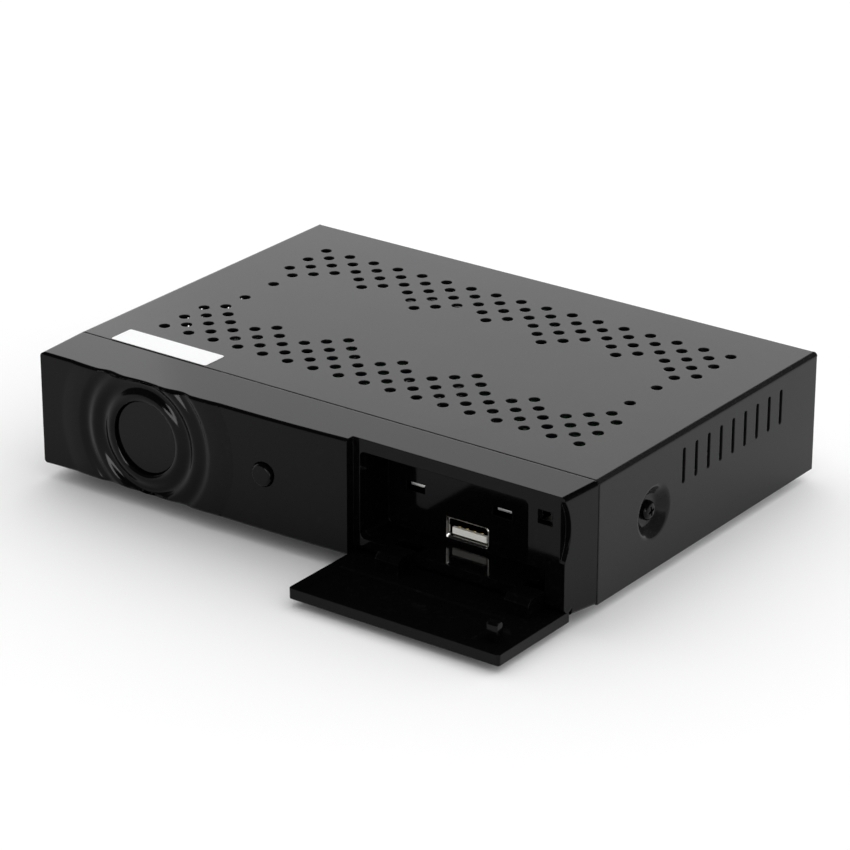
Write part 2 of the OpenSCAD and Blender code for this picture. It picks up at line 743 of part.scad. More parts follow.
latch_x = flap_x1 - latch_in;
latch_z = flap_top - latch_drop;
latch_lead = 0.7;
module flap_latch() {
    color([0.06, 0.06, 0.065]) flap_down() along_x(latch_x - latch_w / 2, latch_x + latch_w / 2) polygon([
        [flap_in_y, latch_z - latch_h / 2], [flap_in_y, latch_z + latch_h / 2],
        [flap_in_y + latch_l - latch_lead, latch_z + latch_h / 2],
        [flap_in_y + latch_l, latch_z + latch_h / 2 - latch_lead],
        [flap_in_y + latch_l, latch_z - latch_h / 2 + latch_lead],
        [flap_in_y + latch_l - latch_lead, latch_z - latch_h / 2]]);
}

// Sprung catch behind the hole: two leaves on a base
clip_t = 0.8;
module catch_clip() {
    w = latch_w / 2 + latch_gap;
    h = latch_h / 2 + latch_gap;
    y0 = plate_y + plate_t;
    y1 = flap_in_y + latch_l + latch_gap;
    color([0.7, 0.7, 0.72]) {
        block([latch_x - w, y0, latch_z + h], [latch_x + w, y1 + clip_t, latch_z + h + clip_t]);
        block([latch_x - w, y0, latch_z - h - clip_t], [latch_x + w, y1 + clip_t, latch_z - h]);
        block([latch_x - w, y1, latch_z - h - clip_t], [latch_x + w, y1 + clip_t, latch_z + h + clip_t]);
    }
}

// Compartment liner: a tray-like pocket behind the opening
window_w = 6;
window_h = 2.6;
window_shares = [0.167, 0.688];
tab_share = 0.25;
window_h_share = 0.5;
window_z = sill_z + (open_top - sill_z) * window_h_share;
module compartment_liner() {
    y0 = plate_y + plate_t;
    color([0.07, 0.07, 0.075]) difference() {
        block([open_x0 - liner_t, y0, sill_z - liner_t], [open_x1 + liner_t, wall_y, open_top + liner_t]);
        along_y(y0 - over, wall_y - liner_t) round_square([open_x0, sill_z], [open_x1, open_top], open_r);
        block([usb_x - usb_w / 2 - slip_gap, wall_y - liner_t - over, usb_z - usb_h / 2 - slip_gap],
            [usb_x + usb_w / 2 + slip_gap, wall_y + over, usb_z + usb_h / 2 + slip_gap]);
        for (share = window_shares) {
            x = open_x0 + open_w * share;
            block([x - window_w / 2, wall_y - liner_t - over, window_z - window_h / 2],
                [x + window_w / 2, wall_y + over, window_z + window_h / 2]);
        }
        // the sill fills the front of the floor, and the lugs swing through it
        block([open_x0 - liner_t - over, y0 - over, sill_z - liner_t - over],
            [open_x1 + liner_t + over, stop_y + bezel_wall, sill_z]);
        for (x = lug_x) lug_room(x);
    }
}
module lug_room(x) {
    w = lug_w / 2 + flap_gap;
    block([x - w, plate_y, sill_z - liner_t - over], [x + w, hinge_y + lug_d + 2 * flap_gap + over, lug_top]);
}

// Screening plate on the back of the liner, with two tabs bent into its windows
shield_t = 0.5;
shield_tab_t = 0.8;
module shield_plate() {
    x0 = open_x0 + open_w * window_shares[0] - window_w;
    x1 = open_x0 + open_w * window_shares[1] + window_w;
    z1 = window_z + window_h / 2;
    color([0.78, 0.78, 0.8]) {
        block([x0, wall_y, z1], [x1, wall_y + shield_t, z1 + 3 * window_h]);
        for (share = window_shares) {
            x = open_x0 + open_w * share;
            block([x - window_w * tab_share, wall_y - liner_t, z1 - shield_tab_t], [x + window_w / 2, wall_y + shield_t, z1]);
        }
    }
}

// USB socket on the main board
usb_skin = 0.35;
module usb_shell() {
    y0 = wall_y - liner_t;
    color("silver") along_y(y0, y0 + usb_d) difference() {
        translate([usb_x - usb_w / 2, deck_z]) square([usb_w, usb_h]);
        translate([usb_x - usb_w / 2 + usb_skin, deck_z + usb_skin]) square([usb_w - 2 * usb_skin, usb_h - 2 * usb_skin]);
    }
}
usb_tongue_t = 1.9;
usb_tongue_w = 11.1;
usb_tongue_l = 9;
usb_tongue_drop = 0.77;
usb_pitch = 2.4;
usb_pins = 4;
module usb_tongue() {
    y1 = wall_y - liner_t + usb_d;
    y0 = wall_y - liner_t + usb_skin;
    top = deck_z + usb_h - usb_tongue_drop;
    color("white") {
        block([usb_x - usb_tongue_w / 2, y0, top - usb_tongue_t], [usb_x + usb_tongue_w / 2, y1, top]);
        block([usb_x - usb_w / 2 + usb_skin, y0 + usb_tongue_l, deck_z + usb_skin],
            [usb_x + usb_w / 2 - usb_skin, y1, top - usb_tongue_t]);
    }
}
module usb_contacts() {
    y0 = wall_y - liner_t + 2 * usb_skin;
    top = deck_z + usb_h - usb_tongue_drop - usb_tongue_t;
    color("gold") for (i = [0:usb_pins - 1]) {
        x = usb_x + (i - (usb_pins - 1) / 2) * usb_pitch;
        block([x - usb_skin, y0 + usb_skin, top - usb_skin], [x + usb_skin, y0 + usb_tongue_l - 2 * usb_skin, top]);
    }
}

// Front board with what it carries
front_board_in = 4.6;
front_board_x0 = -half_w + front_board_in;
front_board_x1 = jog_x - front_board_in / 2;
front_board_z0 = case_z + front_board_in;
front_board_z1 = top_z - front_board_in;
front_hole_r = 1.35;
module front_board() {
    color([0.1, 0.35, 0.2]) difference() {
        block([front_board_x0, front_board_y, front_board_z0], [front_board_x1, front_board_y + board_t, front_board_z1]);
        for (i = [0:len(post_xs) - 1])
            bar_y(front_board_y - over, front_board_y + board_t + over, post_xs[i], post_zs[i], front_hole_r);
    }
}
module front_board_screws() {
    color("silver") for (i = [0:len(post_xs) - 1])
        translate([post_xs[i], front_board_y + board_t, post_zs[i]]) rotate([-90, 0, 0])
            scale(small_screw_share) screw(screw_l);
}

sensor_w = 6;
sensor_h = 7;
sensor_d = 3.2;
sensor_dome_r = 2.4;
module ir_sensor() {
    color([0.04, 0.03, 0.04]) {
        block([ring_x - sensor_w / 2, front_board_y - sensor_d, ring_z - sensor_h / 2],
            [ring_x + sensor_w / 2, front_board_y, ring_z + sensor_h / 2]);
        intersection() {
            translate([ring_x, front_board_y - sensor_d + sensor_dome_r / 2, ring_z]) sphere(r = sensor_dome_r);
            block([ring_x - sensor_w, front_y + face_t + lens_t, ring_z - sensor_w],
                [ring_x + sensor_w, front_board_y - sensor_d, ring_z + sensor_w]);
        }
    }
}

light_r = 1.5;
light_l = 3.6;
light_in = 7;
module status_lights() {
    color([0.2, 0.8, 0.3]) for (s = [-1, 1])
        bar_y(front_board_y - light_l, front_board_y, ring_x + s * light_in, ring_z, light_r);
}

// Flat ribbon from the front board to the main board, with a socket at each end
ribbon_w = 12;
ribbon_t = 0.4;
ribbon_share = 0.42;
ribbon_x = -half_w * ribbon_share;
ribbon_sock = 4;
ribbon_rise = 1.2;
ribbon_z = deck_z + ribbon_sock + ribbon_rise;
ribbon_in = 3;
ribbon_drop_y = seam_y + board_front + ribbon_in;
module ribbon_cable() {
    y0 = front_board_y + board_t + ribbon_sock;
    y1 = ribbon_drop_y;
    z1 = deck_z + ribbon_sock;
    color([0.75, 0.75, 0.78]) along_x(ribbon_x - ribbon_w / 2, ribbon_x + ribbon_w / 2) polygon([
        [y0, ribbon_z + ribbon_sock / 2], [y1, ribbon_z + ribbon_sock / 2], [y1 + ribbon_sock / 2, ribbon_z],
        [y1 + ribbon_sock / 2, z1], [y1 + ribbon_sock / 2 - ribbon_t, z1],
        [y1 + ribbon_sock / 2 - ribbon_t, ribbon_z - ribbon_t / 2],
        [y1 - ribbon_t / 2, ribbon_z + ribbon_sock / 2 - ribbon_t], [y0, ribbon_z + ribbon_sock / 2 - ribbon_t]]);
}
module ribbon_sockets() {
    y0 = front_board_y + board_t;
    x0 = ribbon_x - ribbon_w / 2 - ribbon_sock / 2;
    x1 = ribbon_x + ribbon_w / 2 + ribbon_sock / 2;
    color([0.9, 0.88, 0.82]) {
        block([x0, y0, ribbon_z], [x1, y0 + ribbon_sock, ribbon_z + ribbon_sock]);
        block([x0, ribbon_drop_y, deck_z], [x1, ribbon_drop_y + ribbon_sock, deck_z + ribbon_sock]);
    }
}

// Main board on its standoffs
board_x = tray_x - board_side;
board_y0 = seam_y + board_front;
board_y1 = panel_y - sheet_t - slip_gap;
usb_tongue_in = 8;
hole_in = 12;
hole_xs = [-board_x + hole_in, board_x - hole_in];
hole_ys = [board_y0 + hole_in, board_y1 - 2 * hole_in];
standoff_r = 3;
board_screw_l = 4.9;
module main_board() {
    color([0.09, 0.33, 0.2]) difference() {
        union() {
            block([-board_x, board_y0, board_z], [board_x, board_y1, deck_z]);
            block([usb_x - usb_w / 2 - usb_tongue_in / 2, wall_y + slip_gap, board_z],
                [usb_x + usb_w / 2 + usb_tongue_in / 2, board_y0 + over, deck_z]);
        }
        for (x = hole_xs, y = hole_ys) bar_z(board_z - over, deck_z + over, x, y, screw_r);
    }
}
module board_standoffs() {
    color([0.75, 0.68, 0.4]) for (x = hole_xs, y = hole_ys) difference() {
        bar_z(tray_top, board_z, x, y, standoff_r);
        bar_z(tray_top + sheet_t, board_z + over, x, y, screw_r);
    }
}
module board_screws() {
    color("silver") for (x = hole_xs, y = hole_ys) translate([x, y, deck_z]) screw(board_screw_l);
}

// Decoder with its finned heat sink, and the chips beside it
chip_w = 27;
chip_t = 1.8;
chip_share = 0.02;
chip_ahead = 4;
chip_x = half_w * chip_share;
chip_y = (seam_y + back_y) / 2 - chip_ahead;
fin_count = 9;
fin_h = 9;
fin_t = 1.1;
sink_w = 30;
sink_base = 2;
module decoder_chip() {
    color([0.08, 0.08, 0.09]) translate([chip_x - chip_w / 2, chip_y - chip_w / 2, deck_z]) cube([chip_w, chip_w, chip_t]);
}
module heat_sink() {
    z0 = deck_z + chip_t;
    pitch = (sink_w - fin_t) / (fin_count - 1);
    color([0.75, 0.76, 0.78]) {
        block([chip_x - sink_w / 2, chip_y - sink_w / 2, z0], [chip_x + sink_w / 2, chip_y + sink_w / 2, z0 + sink_base]);
        for (i = [0:fin_count - 1]) translate([chip_x - sink_w / 2 + i * pitch, chip_y - sink_w / 2, z0])
            cube([fin_t, sink_w, sink_base + fin_h]);
    }
}
memory_w = 11;
memory_l = 13;
memory_t = 1.2;
module memory_chips() {
    x0 = chip_x + sink_w / 2 + memory_w / 2;
    color([0.1, 0.1, 0.1]) {
        for (i = [0, 1]) translate([x0, chip_y - memory_l - memory_t + i * (memory_l + 2 * memory_t), deck_z])
            cube([memory_w, memory_l, memory_t]);
        translate([chip_x - memory_w / 2, chip_y + sink_w / 2 + 2 * memory_t, deck_z]) cube([memory_w, memory_w, memory_t]);
    }
}

// Electrolytic capacitors beside the power inlet: shares of the board, with a size each
can_r = 5;
can_h = 14;
small_can_r = 3.2;
small_can_h = 9;
can_shares = [[-0.84, 0.56], [-0.66, 0.56], [-0.84, 0.4]];
small_can_shares = [[-0.5, 0.56], [-0.5, 0.42], [-0.3, 0.6], [0.38, 0.2], [0.5, 0.2], [0.62, 0.3], [0.3, 0.62]];
module capacitors() {
    span = board_y1 - board_y0;
    color([0.15, 0.16, 0.25]) {
        for (s = can_shares) bar_z(deck_z, deck_z + can_h, s[0] * board_x, board_y0 + s[1] * span, can_r);
        for (s = small_can_shares)
            bar_z(deck_z, deck_z + small_can_h, s[0] * board_x, board_y0 + s[1] * span, small_can_r);
    }
}
coil_r = 5.4;
coil_h = 6;
coil_hole_r = 2.2;
coil_shares = [[-0.66, 0.36], [-0.84, 0.25], [-0.5, 0.26]];
module power_coils() {
    span = board_y1 - board_y0;
    color([0.3, 0.3, 0.32]) for (s = coil_shares) difference() {
        bar_z(deck_z, deck_z + coil_h, s[0] * board_x, board_y0 + s[1] * span, coil_r);
        bar_z(deck_z + coil_h / 2, deck_z + coil_h + over, s[0] * board_x, board_y0 + s[1] * span, coil_hole_r);
    }
}

// Rear ports: places as shares of the tray's half width
f_shares = [0.86, 0.64];
f_shank_step = 0.21;
av_share = 0.265;
data_share = -0.06;
hdmi_share = -0.22;
lan_share = -0.445;
dc_share = -0.63;
switch_share = -0.845;
port_gap = 0.3;

// Tuner: a screened can against the rear panel, with two threaded sockets
can_in = 0.4;
tuner_w = 30;
tuner_d = 20;
tuner_h = 16;
tuner_x = (f_shares[0] + f_shares[1]) / 2 * tray_x;
f_z = deck_z + tuner_h / 2;
module tuner_can() {
    y1 = panel_y - sheet_t;
    color([0.72, 0.72, 0.7]) difference() {
        block([tuner_x - tuner_w / 2, y1 - tuner_d, deck_z], [tuner_x + tuner_w / 2, y1, deck_z + tuner_h]);
        block([tuner_x - tuner_w / 2 + can_in, y1 - tuner_d + can_in, deck_z - over],
            [tuner_x + tuner_w / 2 - can_in, y1 - can_in, deck_z + tuner_h - can_in]);
        for (share = f_shares) bar_y(y1 - 2 * can_in, y1 + over, share * tray_x, f_z, f_shank_r);
    }
}
f_bore_r = 3.2;
f_wall = 1.2;
f_relief = 0.3;
f_shank_r = f_r + f_shank_step;
module f_sockets() {
    color("silver") for (share = f_shares) difference() {
        union() {
            bar_y(panel_y - sheet_t - f_wall, panel_y + nut_t + f_relief, share * tray_x, f_z, f_shank_r);
            bar_y(panel_y, panel_y + f_len, share * tray_x, f_z, f_r);
        }
        bar_y(panel_y, panel_y + f_len + over, share * tray_x, f_z, f_bore_r);
    }
}
f_pin_r = 0.6;
f_insert_in = 1;
module f_inserts() {
    color([0.92, 0.92, 0.9]) for (share = f_shares) difference() {
        bar_y(panel_y, panel_y + f_len - f_insert_in, share * tray_x, f_z, f_bore_r);
        bar_y(panel_y + f_insert_in, panel_y + f_len, share * tray_x, f_z, f_pin_r);
    }
}
nut_r = 7.2;
nut_t = 2.4;
module f_nuts() {
    color([0.8, 0.8, 0.78]) for (share = f_shares) translate([share * tray_x, panel_y + nut_t, f_z]) rotate([90, 0, 0])
        difference() {
            cylinder(r = nut_r, h = nut_t, $fn = 6);
            translate([0, 0, -over]) cylinder(r = f_shank_r + pin_gap, h = nut_t + 2 * over);
        }
}

// Audio and video sockets in one block
av_xs = [for (i = [-1:1]) av_share * tray_x + i * av_pitch];
av_block_d = 11;
av_block_h = 13;
av_z = deck_z + av_block_h / 2;
av_bore_r = 3.25;
av_collar = 0.4;
av_collar_step = 0.2;
av_face = 1.4;
module av_block() {
    w = av_pitch * len(av_xs) - port_gap;
    y1 = panel_y - sheet_t;
    color([0.06, 0.06, 0.06]) difference() {
        block([av_xs[1] - w / 2, y1 - av_block_d, deck_z], [av_xs[1] + w / 2, y1, deck_z + av_block_h]);
        for (x = av_xs) bar_y(y1 - av_block_d / 2, y1 + over, x, av_z, av_r + av_collar_step);
    }
}
module av_shells() {
    y1 = panel_y - sheet_t;
    color("silver") for (x = av_xs) difference() {
        union() {
            bar_y(y1 - av_block_d / 2, panel_y + av_collar, x, av_z, av_r + av_collar_step);
            bar_y(y1, panel_y + av_len, x, av_z, av_r);
        }
        bar_y(y1 - av_block_d / 2 - over, panel_y + av_len + over, x, av_z, av_bore_r);
    }
}
av_pin_r = 1.6;
module av_insert(x) {
    y1 = panel_y - sheet_t;
    difference() {
        bar_y(y1 - av_block_d / 2, panel_y + av_len - av_face, x, av_z, av_bore_r);
        bar_y(y1, panel_y + av_len, x, av_z, av_pin_r);
    }
}
module av_insert_yellow() {
    color("yellow") av_insert(av_xs[2]);
}
module av_insert_white() {
    color("white") av_insert(av_xs[1]);
}
module av_insert_red() {
    color("red") av_insert(av_xs[0]);
}

// Picture output: a tapered metal mouth with a tongue
hdmi_w = 15;
hdmi_h = 5.6;
hdmi_d = 11;
hdmi_skin = 0.5;
hdmi_proud = 0.8;
hdmi_x = hdmi_share * tray_x;
hdmi_side_share = 0.45;
hdmi_base_share = 0.36;
function hdmi_points(w, h, z) = [[hdmi_x - w / 2, z + h], [hdmi_x - w / 2, z + h * hdmi_side_share],
    [hdmi_x - w * hdmi_base_share, z], [hdmi_x + w * hdmi_base_share, z],
    [hdmi_x + w / 2, z + h * hdmi_side_share], [hdmi_x + w / 2, z + h]];
module hdmi_shell() {
    color("silver") difference() {
        along_y(panel_y + hdmi_proud - hdmi_d, panel_y + hdmi_proud) polygon(hdmi_points(hdmi_w, hdmi_h, deck_z));
        along_y(panel_y + hdmi_proud - hdmi_d + hdmi_skin, panel_y + hdmi_proud + over)
            polygon(hdmi_points(hdmi_w - 2 * hdmi_skin, hdmi_h - 2 * hdmi_skin, deck_z + hdmi_skin));
    }
}
hdmi_tongue_w = 11;
hdmi_tongue_t = 1.4;
module hdmi_tongue() {
    z = deck_z + hdmi_h / 2;
    color([0.07, 0.07, 0.07]) block([hdmi_x - hdmi_tongue_w / 2, panel_y + hdmi_proud - hdmi_d + hdmi_skin, z],
        [hdmi_x + hdmi_tongue_w / 2, panel_y, z + hdmi_tongue_t]);
}

// Network socket
lan_w = 16;
lan_h = 13.4;
lan_d = 18;
lan_open_w = 11.9;
lan_open_h = 7.6;
lan_key_w = 6;
lan_key_h = 2.4;
lan_open_d = 12;
lan_floor = 2;
lan_proud = 0.5;
lan_x = lan_share * tray_x;
module lan_jack() {
    y1 = panel_y + lan_proud;
    z0 = deck_z + lan_floor + lan_key_h;
    color([0.1, 0.1, 0.1]) difference() {
        block([lan_x - lan_w / 2, y1 - lan_d, deck_z], [lan_x + lan_w / 2, y1, deck_z + lan_h]);
        block([lan_x - lan_open_w / 2, y1 - lan_open_d, z0], [lan_x + lan_open_w / 2, y1 + over, z0 + lan_open_h]);
        block([lan_x - lan_key_w / 2, y1 - lan_open_d, deck_z + lan_floor], [lan_x + lan_key_w / 2, y1 + over, z0 + over]);
    }
}
lan_wire = 0.4;
lan_wires = 8;
lan_pitch = 1.02;
module lan_contacts() {
    y1 = panel_y + lan_proud;
    z1 = deck_z + lan_floor + lan_key_h + lan_open_h;
    color("gold") for (i = [0:lan_wires - 1]) {
        x = lan_x + (i - (lan_wires - 1) / 2) * lan_pitch;
        along_x(x - lan_wire / 2, x + lan_wire / 2) polygon([[y1 - lan_open_d / 4, z1 - lan_wire],
            [y1 - lan_open_d / 4, z1], [y1 - lan_open_d, z1 - lan_open_h / 3],
            [y1 - lan_open_d, z1 - lan_open_h / 3 - lan_wire]]);
    }
}

// Data jack with a round bushing
data_w = 7;
data_d = 14;
data_h = 8;
data_bush_r = 3;
data_proud = 1.6;
data_bore_d = 12;
data_x = data_share * tray_x;
data_z = deck_z + data_h / 2;
module data_jack() {
    y1 = panel_y - sheet_t;
    color([0.07, 0.07, 0.07]) difference() {
        union() {
            block([data_x - data_w / 2, y1 - data_d, deck_z], [data_x + data_w / 2, y1, deck_z + data_h]);
            bar_y(y1 - data_w / 2, panel_y + data_proud, data_x, data_z, data_bush_r);
        }
        bar_y(panel_y + data_proud - data_bore_d, panel_y + data_proud + over, data_x, data_z, data_r);
    }
}

// Power inlet
dc_w = 9;
dc_h = 11;
dc_d = 14;
dc_bore_d = 9.5;
dc_pin_r = 1;
dc_pin_in = 1;
dc_x = dc_share * tray_x;
dc_rise = 6;
dc_z = deck_z + dc_rise;
module dc_inlet() {
    y1 = panel_y;
    color([0.06, 0.06, 0.06]) difference() {
        block([dc_x - dc_w / 2, y1 - dc_d, deck_z], [dc_x + dc_w / 2, y1, deck_z + dc_h]);
        bar_y(y1 - dc_bore_d, y1 + over, dc_x, dc_z, dc_r);
    }
}
module dc_pin() {
    color("silver") bar_y(panel_y - dc_bore_d, panel_y - dc_pin_in, dc_x, dc_z, dc_pin_r);
}

// Rear switch: snap-in frame and rocker, long way across the panel
switch_x = switch_share * tray_x;
switch_z = case_z + body_h / 2;
frame_w = 21;
frame_h = 15;
frame_t = 2;
frame_rim = 1.6;
snap_w = 19;
snap_h = 13;
snap_d = 12;
snap_wall = 0.8;
rocker_w = frame_w - 2 * frame_rim - 2 * port_gap;
rocker_h = snap_h - 2 * snap_wall - 2 * port_gap - 2 * snap_wall;
rocker_rise = 2.6;
rocker_root = 5;
rocker_pin_r = 1;
rocker_pin_in = 1.5;
rocker_pin_y = panel_y - rocker_pin_in;
rocker_dip = 0.5;
module switch_frame() {
    color([0.05, 0.05, 0.05]) difference() {
        union() {
            along_y(panel_y, panel_y + frame_t)
                round_square([switch_x - frame_w / 2, switch_z - frame_h / 2], [switch_x + frame_w / 2, switch_z + frame_h / 2],
                    frame_rim / 2);
            block([switch_x - snap_w / 2, panel_y - snap_d, switch_z - snap_h / 2],
                [switch_x + snap_w / 2, panel_y, switch_z + snap_h / 2]);
        }
        block([switch_x - rocker_w / 2 - port_gap, panel_y - snap_d + 2 * snap_wall, switch_z - rocker_h / 2 - port_gap],
            [switch_x + rocker_w / 2 + port_gap, panel_y + frame_t + over, switch_z + rocker_h / 2 + port_gap]);
        bar_z(switch_z - rocker_h / 2 - port_gap - 2 * snap_wall, switch_z + rocker_h / 2 + port_gap + 2 * snap_wall,
            switch_x, rocker_pin_y, rocker_pin_r + pin_gap);
    }
}

// Rocker drawn level, then pressed down on its right side
module power_rocker() {
    half = rocker_w / 2 * cos(rocker_tilt) - 2 * port_gap;
    y_top = panel_y + frame_t - rocker_pin_y;
    color([0.07, 0.07, 0.07]) translate([switch_x, rocker_pin_y, switch_z]) rotate([0, 0, -rocker_tilt]) {
        translate([0, 0, -rocker_h / 2]) linear_extrude(rocker_h) polygon([
            [-half, y_top + half * sin(rocker_tilt)], [0, y_top - rocker_dip], [half, y_top + half * sin(rocker_tilt)],
            [half, y_top - rocker_rise / 2], [rocker_root / 2, -rocker_root / 2], [-rocker_root / 2, -rocker_root / 2],
            [-half, y_top - rocker_rise / 2]]);
        bar_z(-rocker_h / 2 - 2 * snap_wall, rocker_h / 2 + 2 * snap_wall, 0, 0, rocker_pin_r);
    }
}

module panel_holes() {
    y0 = panel_y - sheet_t - over;
    y1 = panel_y + over;
    for (share = f_shares) bar_y(y0, y1, share * tray_x, f_z, f_r + port_gap);
    for (x = av_xs) bar_y(y0, y1, x, av_z, av_r + port_gap);
    bar_y(y0, y1, data_x, data_z, data_bush_r + port_gap);
    block([hdmi_x - hdmi_w / 2 - port_gap, y0, deck_z - port_gap], [hdmi_x + hdmi_w / 2 + port_gap, y1, deck_z + hdmi_h + port_gap]);
    block([lan_x - lan_w / 2 - port_gap, y0, deck_z - port_gap], [lan_x + lan_w / 2 + port_gap, y1, deck_z + lan_h + port_gap]);
    block([dc_x - dc_w / 2 - port_gap, y0, deck_z - port_gap], [dc_x + dc_w / 2 + port_gap, y1, deck_z + dc_h + port_gap]);
    block([switch_x - snap_w / 2 - slip_gap, y0, switch_z - snap_h / 2 - slip_gap],
        [switch_x + snap_w / 2 + slip_gap, y1, switch_z + snap_h / 2 + slip_gap]);
}

module base_screws() {
    color("silver") for (s = [-1, 1]) translate([s * base_screw_x, base_screw_y, case_z])
        rotate([180, 0, 0]) scale(small_screw_share) screw(screw_l);
}

// Blank paper sticker behind the seam
sticker_w = 34;
sticker_d = 8.6;
sticker_t = 0.15;
sticker_in = 10.7;
sticker_back = 0.5;
module cover_sticker() {
    x0 = -half_w + sticker_in;
    y0 = seam_y + seam_gap + sticker_back;
    color("white") block([x0, y0, top_z], [x0 + sticker_w, y0 + sticker_d, top_z + sticker_t]);
}

top_cover();
chassis_tray();
rear_panel();
front_bezel();
lens_window();
standby_button();
flap_panel();
flap_lugs();
flap_pins();
flap_latch();
catch_clip();
compartment_liner();
shield_plate();
usb_shell();
usb_tongue();
usb_contacts();
front_board();
front_board_screws();
tact_switch();
tact_plunger();
ir_sensor();
status_lights();
ribbon_cable();
ribbon_sockets();
main_board();
board_standoffs();
board_screws();
decoder_chip();
heat_sink();
memory_chips();
capacitors();
power_coils();
tuner_can();
f_sockets();
f_inserts();
f_nuts();
av_block();
av_shells();
av_insert_yellow();
av_insert_white();
av_insert_red();
hdmi_shell();
hdmi_tongue();
lan_jack();
lan_contacts();
data_jack();
dc_inlet();
dc_pin();
switch_frame();
power_rocker();
side_screws();
rear_screws();
base_screws();
rubber_feet();
cover_sticker();
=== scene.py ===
import json
from math import cos, pi, radians, sin

import bmesh
import bpy
from mathutils import Matrix, Vector


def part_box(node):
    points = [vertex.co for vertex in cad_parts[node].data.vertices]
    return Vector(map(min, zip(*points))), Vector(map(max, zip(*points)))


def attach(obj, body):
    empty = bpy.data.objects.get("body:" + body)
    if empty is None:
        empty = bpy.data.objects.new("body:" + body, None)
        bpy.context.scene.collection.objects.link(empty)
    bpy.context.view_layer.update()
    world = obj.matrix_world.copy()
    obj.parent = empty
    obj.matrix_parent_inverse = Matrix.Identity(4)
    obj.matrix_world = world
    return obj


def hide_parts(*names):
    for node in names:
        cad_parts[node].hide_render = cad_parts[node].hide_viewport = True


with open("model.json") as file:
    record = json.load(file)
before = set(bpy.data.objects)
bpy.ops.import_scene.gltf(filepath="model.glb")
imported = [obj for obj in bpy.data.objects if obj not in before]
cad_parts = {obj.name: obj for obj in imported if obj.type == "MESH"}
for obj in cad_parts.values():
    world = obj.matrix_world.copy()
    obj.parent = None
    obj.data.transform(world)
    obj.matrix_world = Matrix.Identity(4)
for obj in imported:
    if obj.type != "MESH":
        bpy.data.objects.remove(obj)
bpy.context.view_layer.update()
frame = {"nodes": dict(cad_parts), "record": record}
print("stage 1: frame loaded,", len(frame["nodes"]), "nodes")

mm = 0.001
# vertices nearer than this are one, and a direction above this share runs along an axis
weld = mm / 1000
alongAxis = 0.9
# decimals of a metre at which two vertices are one, and by which parts are put in order
decimals = {"same": 6, "order": 5}
# sharp edges are those that turn by more than this, in degrees
creases = {"plain": 38, "turned": 30, "soft": 35, "nut": 20}


# small tools for working by hand

def clearAll():
    if bpy.context.object and bpy.context.object.mode != "OBJECT":
        bpy.ops.object.mode_set(mode="OBJECT")
    bpy.ops.object.select_all(action="DESELECT")


def takeUp(piece):
    clearAll()
    piece.select_set(True)
    bpy.context.view_layer.objects.active = piece
    return piece


def startEdit(piece, kind="FACE"):
    takeUp(piece)
    bpy.ops.object.mode_set(mode="EDIT")
    bpy.ops.mesh.select_mode(type=kind)


def endEdit():
    bpy.ops.object.mode_set(mode="OBJECT")


def choose(kind, test):
    # selects faces, edges or verts of the piece in edit mode by a test
    shell = bmesh.from_edit_mesh(bpy.context.object.data)
    for group in (shell.faces, shell.edges, shell.verts):
        for item in group:
            item.select_set(False)
    found = [item for item in getattr(shell, kind) if test(item)]
    for item in found:
        item.select_set(True)
    shell.select_flush_mode()
    bmesh.update_edit_mesh(bpy.context.object.data)
    return len(found)


def chooseAll():
    bpy.ops.mesh.select_all(action="SELECT")


def roundEdges(test, width, steps):
    # rounds the edges of the piece in edit mode that pass a test
    count = choose("edges", test)
    bpy.ops.mesh.bevel(offset=width, segments=steps, affect="EDGES", clamp_overlap=False)
    return count


def runsAlong(edge, axis):
    return abs((edge.verts[0].co - edge.verts[1].co).normalized()[axis]) > alongAxis


def settle(piece):
    takeUp(piece)
    bpy.ops.object.transform_apply(location=True, rotation=True, scale=True)
    return piece


def newBlock(name, low, high):
    clearAll()
    low, high = Vector(low), Vector(high)
    bpy.ops.mesh.primitive_cube_add(size=1, location=(low + high) / 2)
    piece = bpy.context.object
    piece.name = name
    piece.scale = high - low
    return settle(piece)


def smoothByAngle(piece, degrees=creases["plain"]):
    takeUp(piece)
    bpy.ops.object.shade_smooth_by_angle(angle=radians(degrees))


def applyModifier(piece, kind, **values):
    takeUp(piece)
    step = piece.modifiers.new("step", kind)
    for key, value in values.items():
        setattr(step, key, value)
    bpy.ops.object.modifier_apply(modifier=step.name)


def softenEdges(piece, width, segments=2, degrees=creases["soft"]):
    # rounds every sharp edge and keeps the flats flat in the shading
    applyModifier(piece, "BEVEL", width=width, segments=segments, limit_method="ANGLE",
                  angle_limit=radians(degrees))
    smoothByAngle(piece)
    applyModifier(piece, "WEIGHTED_NORMAL", keep_sharp=True)


def carve(piece, tool, operation="DIFFERENCE"):
    applyModifier(piece, "BOOLEAN", object=tool, operation=operation, solver="EXACT")
    bpy.data.objects.remove(tool)


def copyOf(source, name):
    piece = source.copy()
    piece.data = source.data.copy()
    piece.name = name
    piece.parent = None
    bpy.context.scene.collection.objects.link(piece)
    return piece


def mergedCopy(node, name, flatDegrees, kind="FACE"):
    # a copy in edit mode, without the frame's doubled vertices and the seams across its flats
    piece = copyOf(frame["nodes"][node], name)
    takeUp(piece)
    bpy.ops.mesh.customdata_custom_splitnormals_clear()
    startEdit(piece, kind)
    chooseAll()
    bpy.ops.mesh.remove_doubles(threshold=weld)
    bpy.ops.mesh.dissolve_limited(angle_limit=radians(flatDegrees))
    return piece


def joinUp(pieces, name):
    clearAll()
    for piece in pieces:
        piece.select_set(True)
    bpy.context.view_layer.objects.active = pieces[0]
    if len(pieces) > 1:
        bpy.ops.object.join()
    pieces[0].name = name
    return pieces[0]


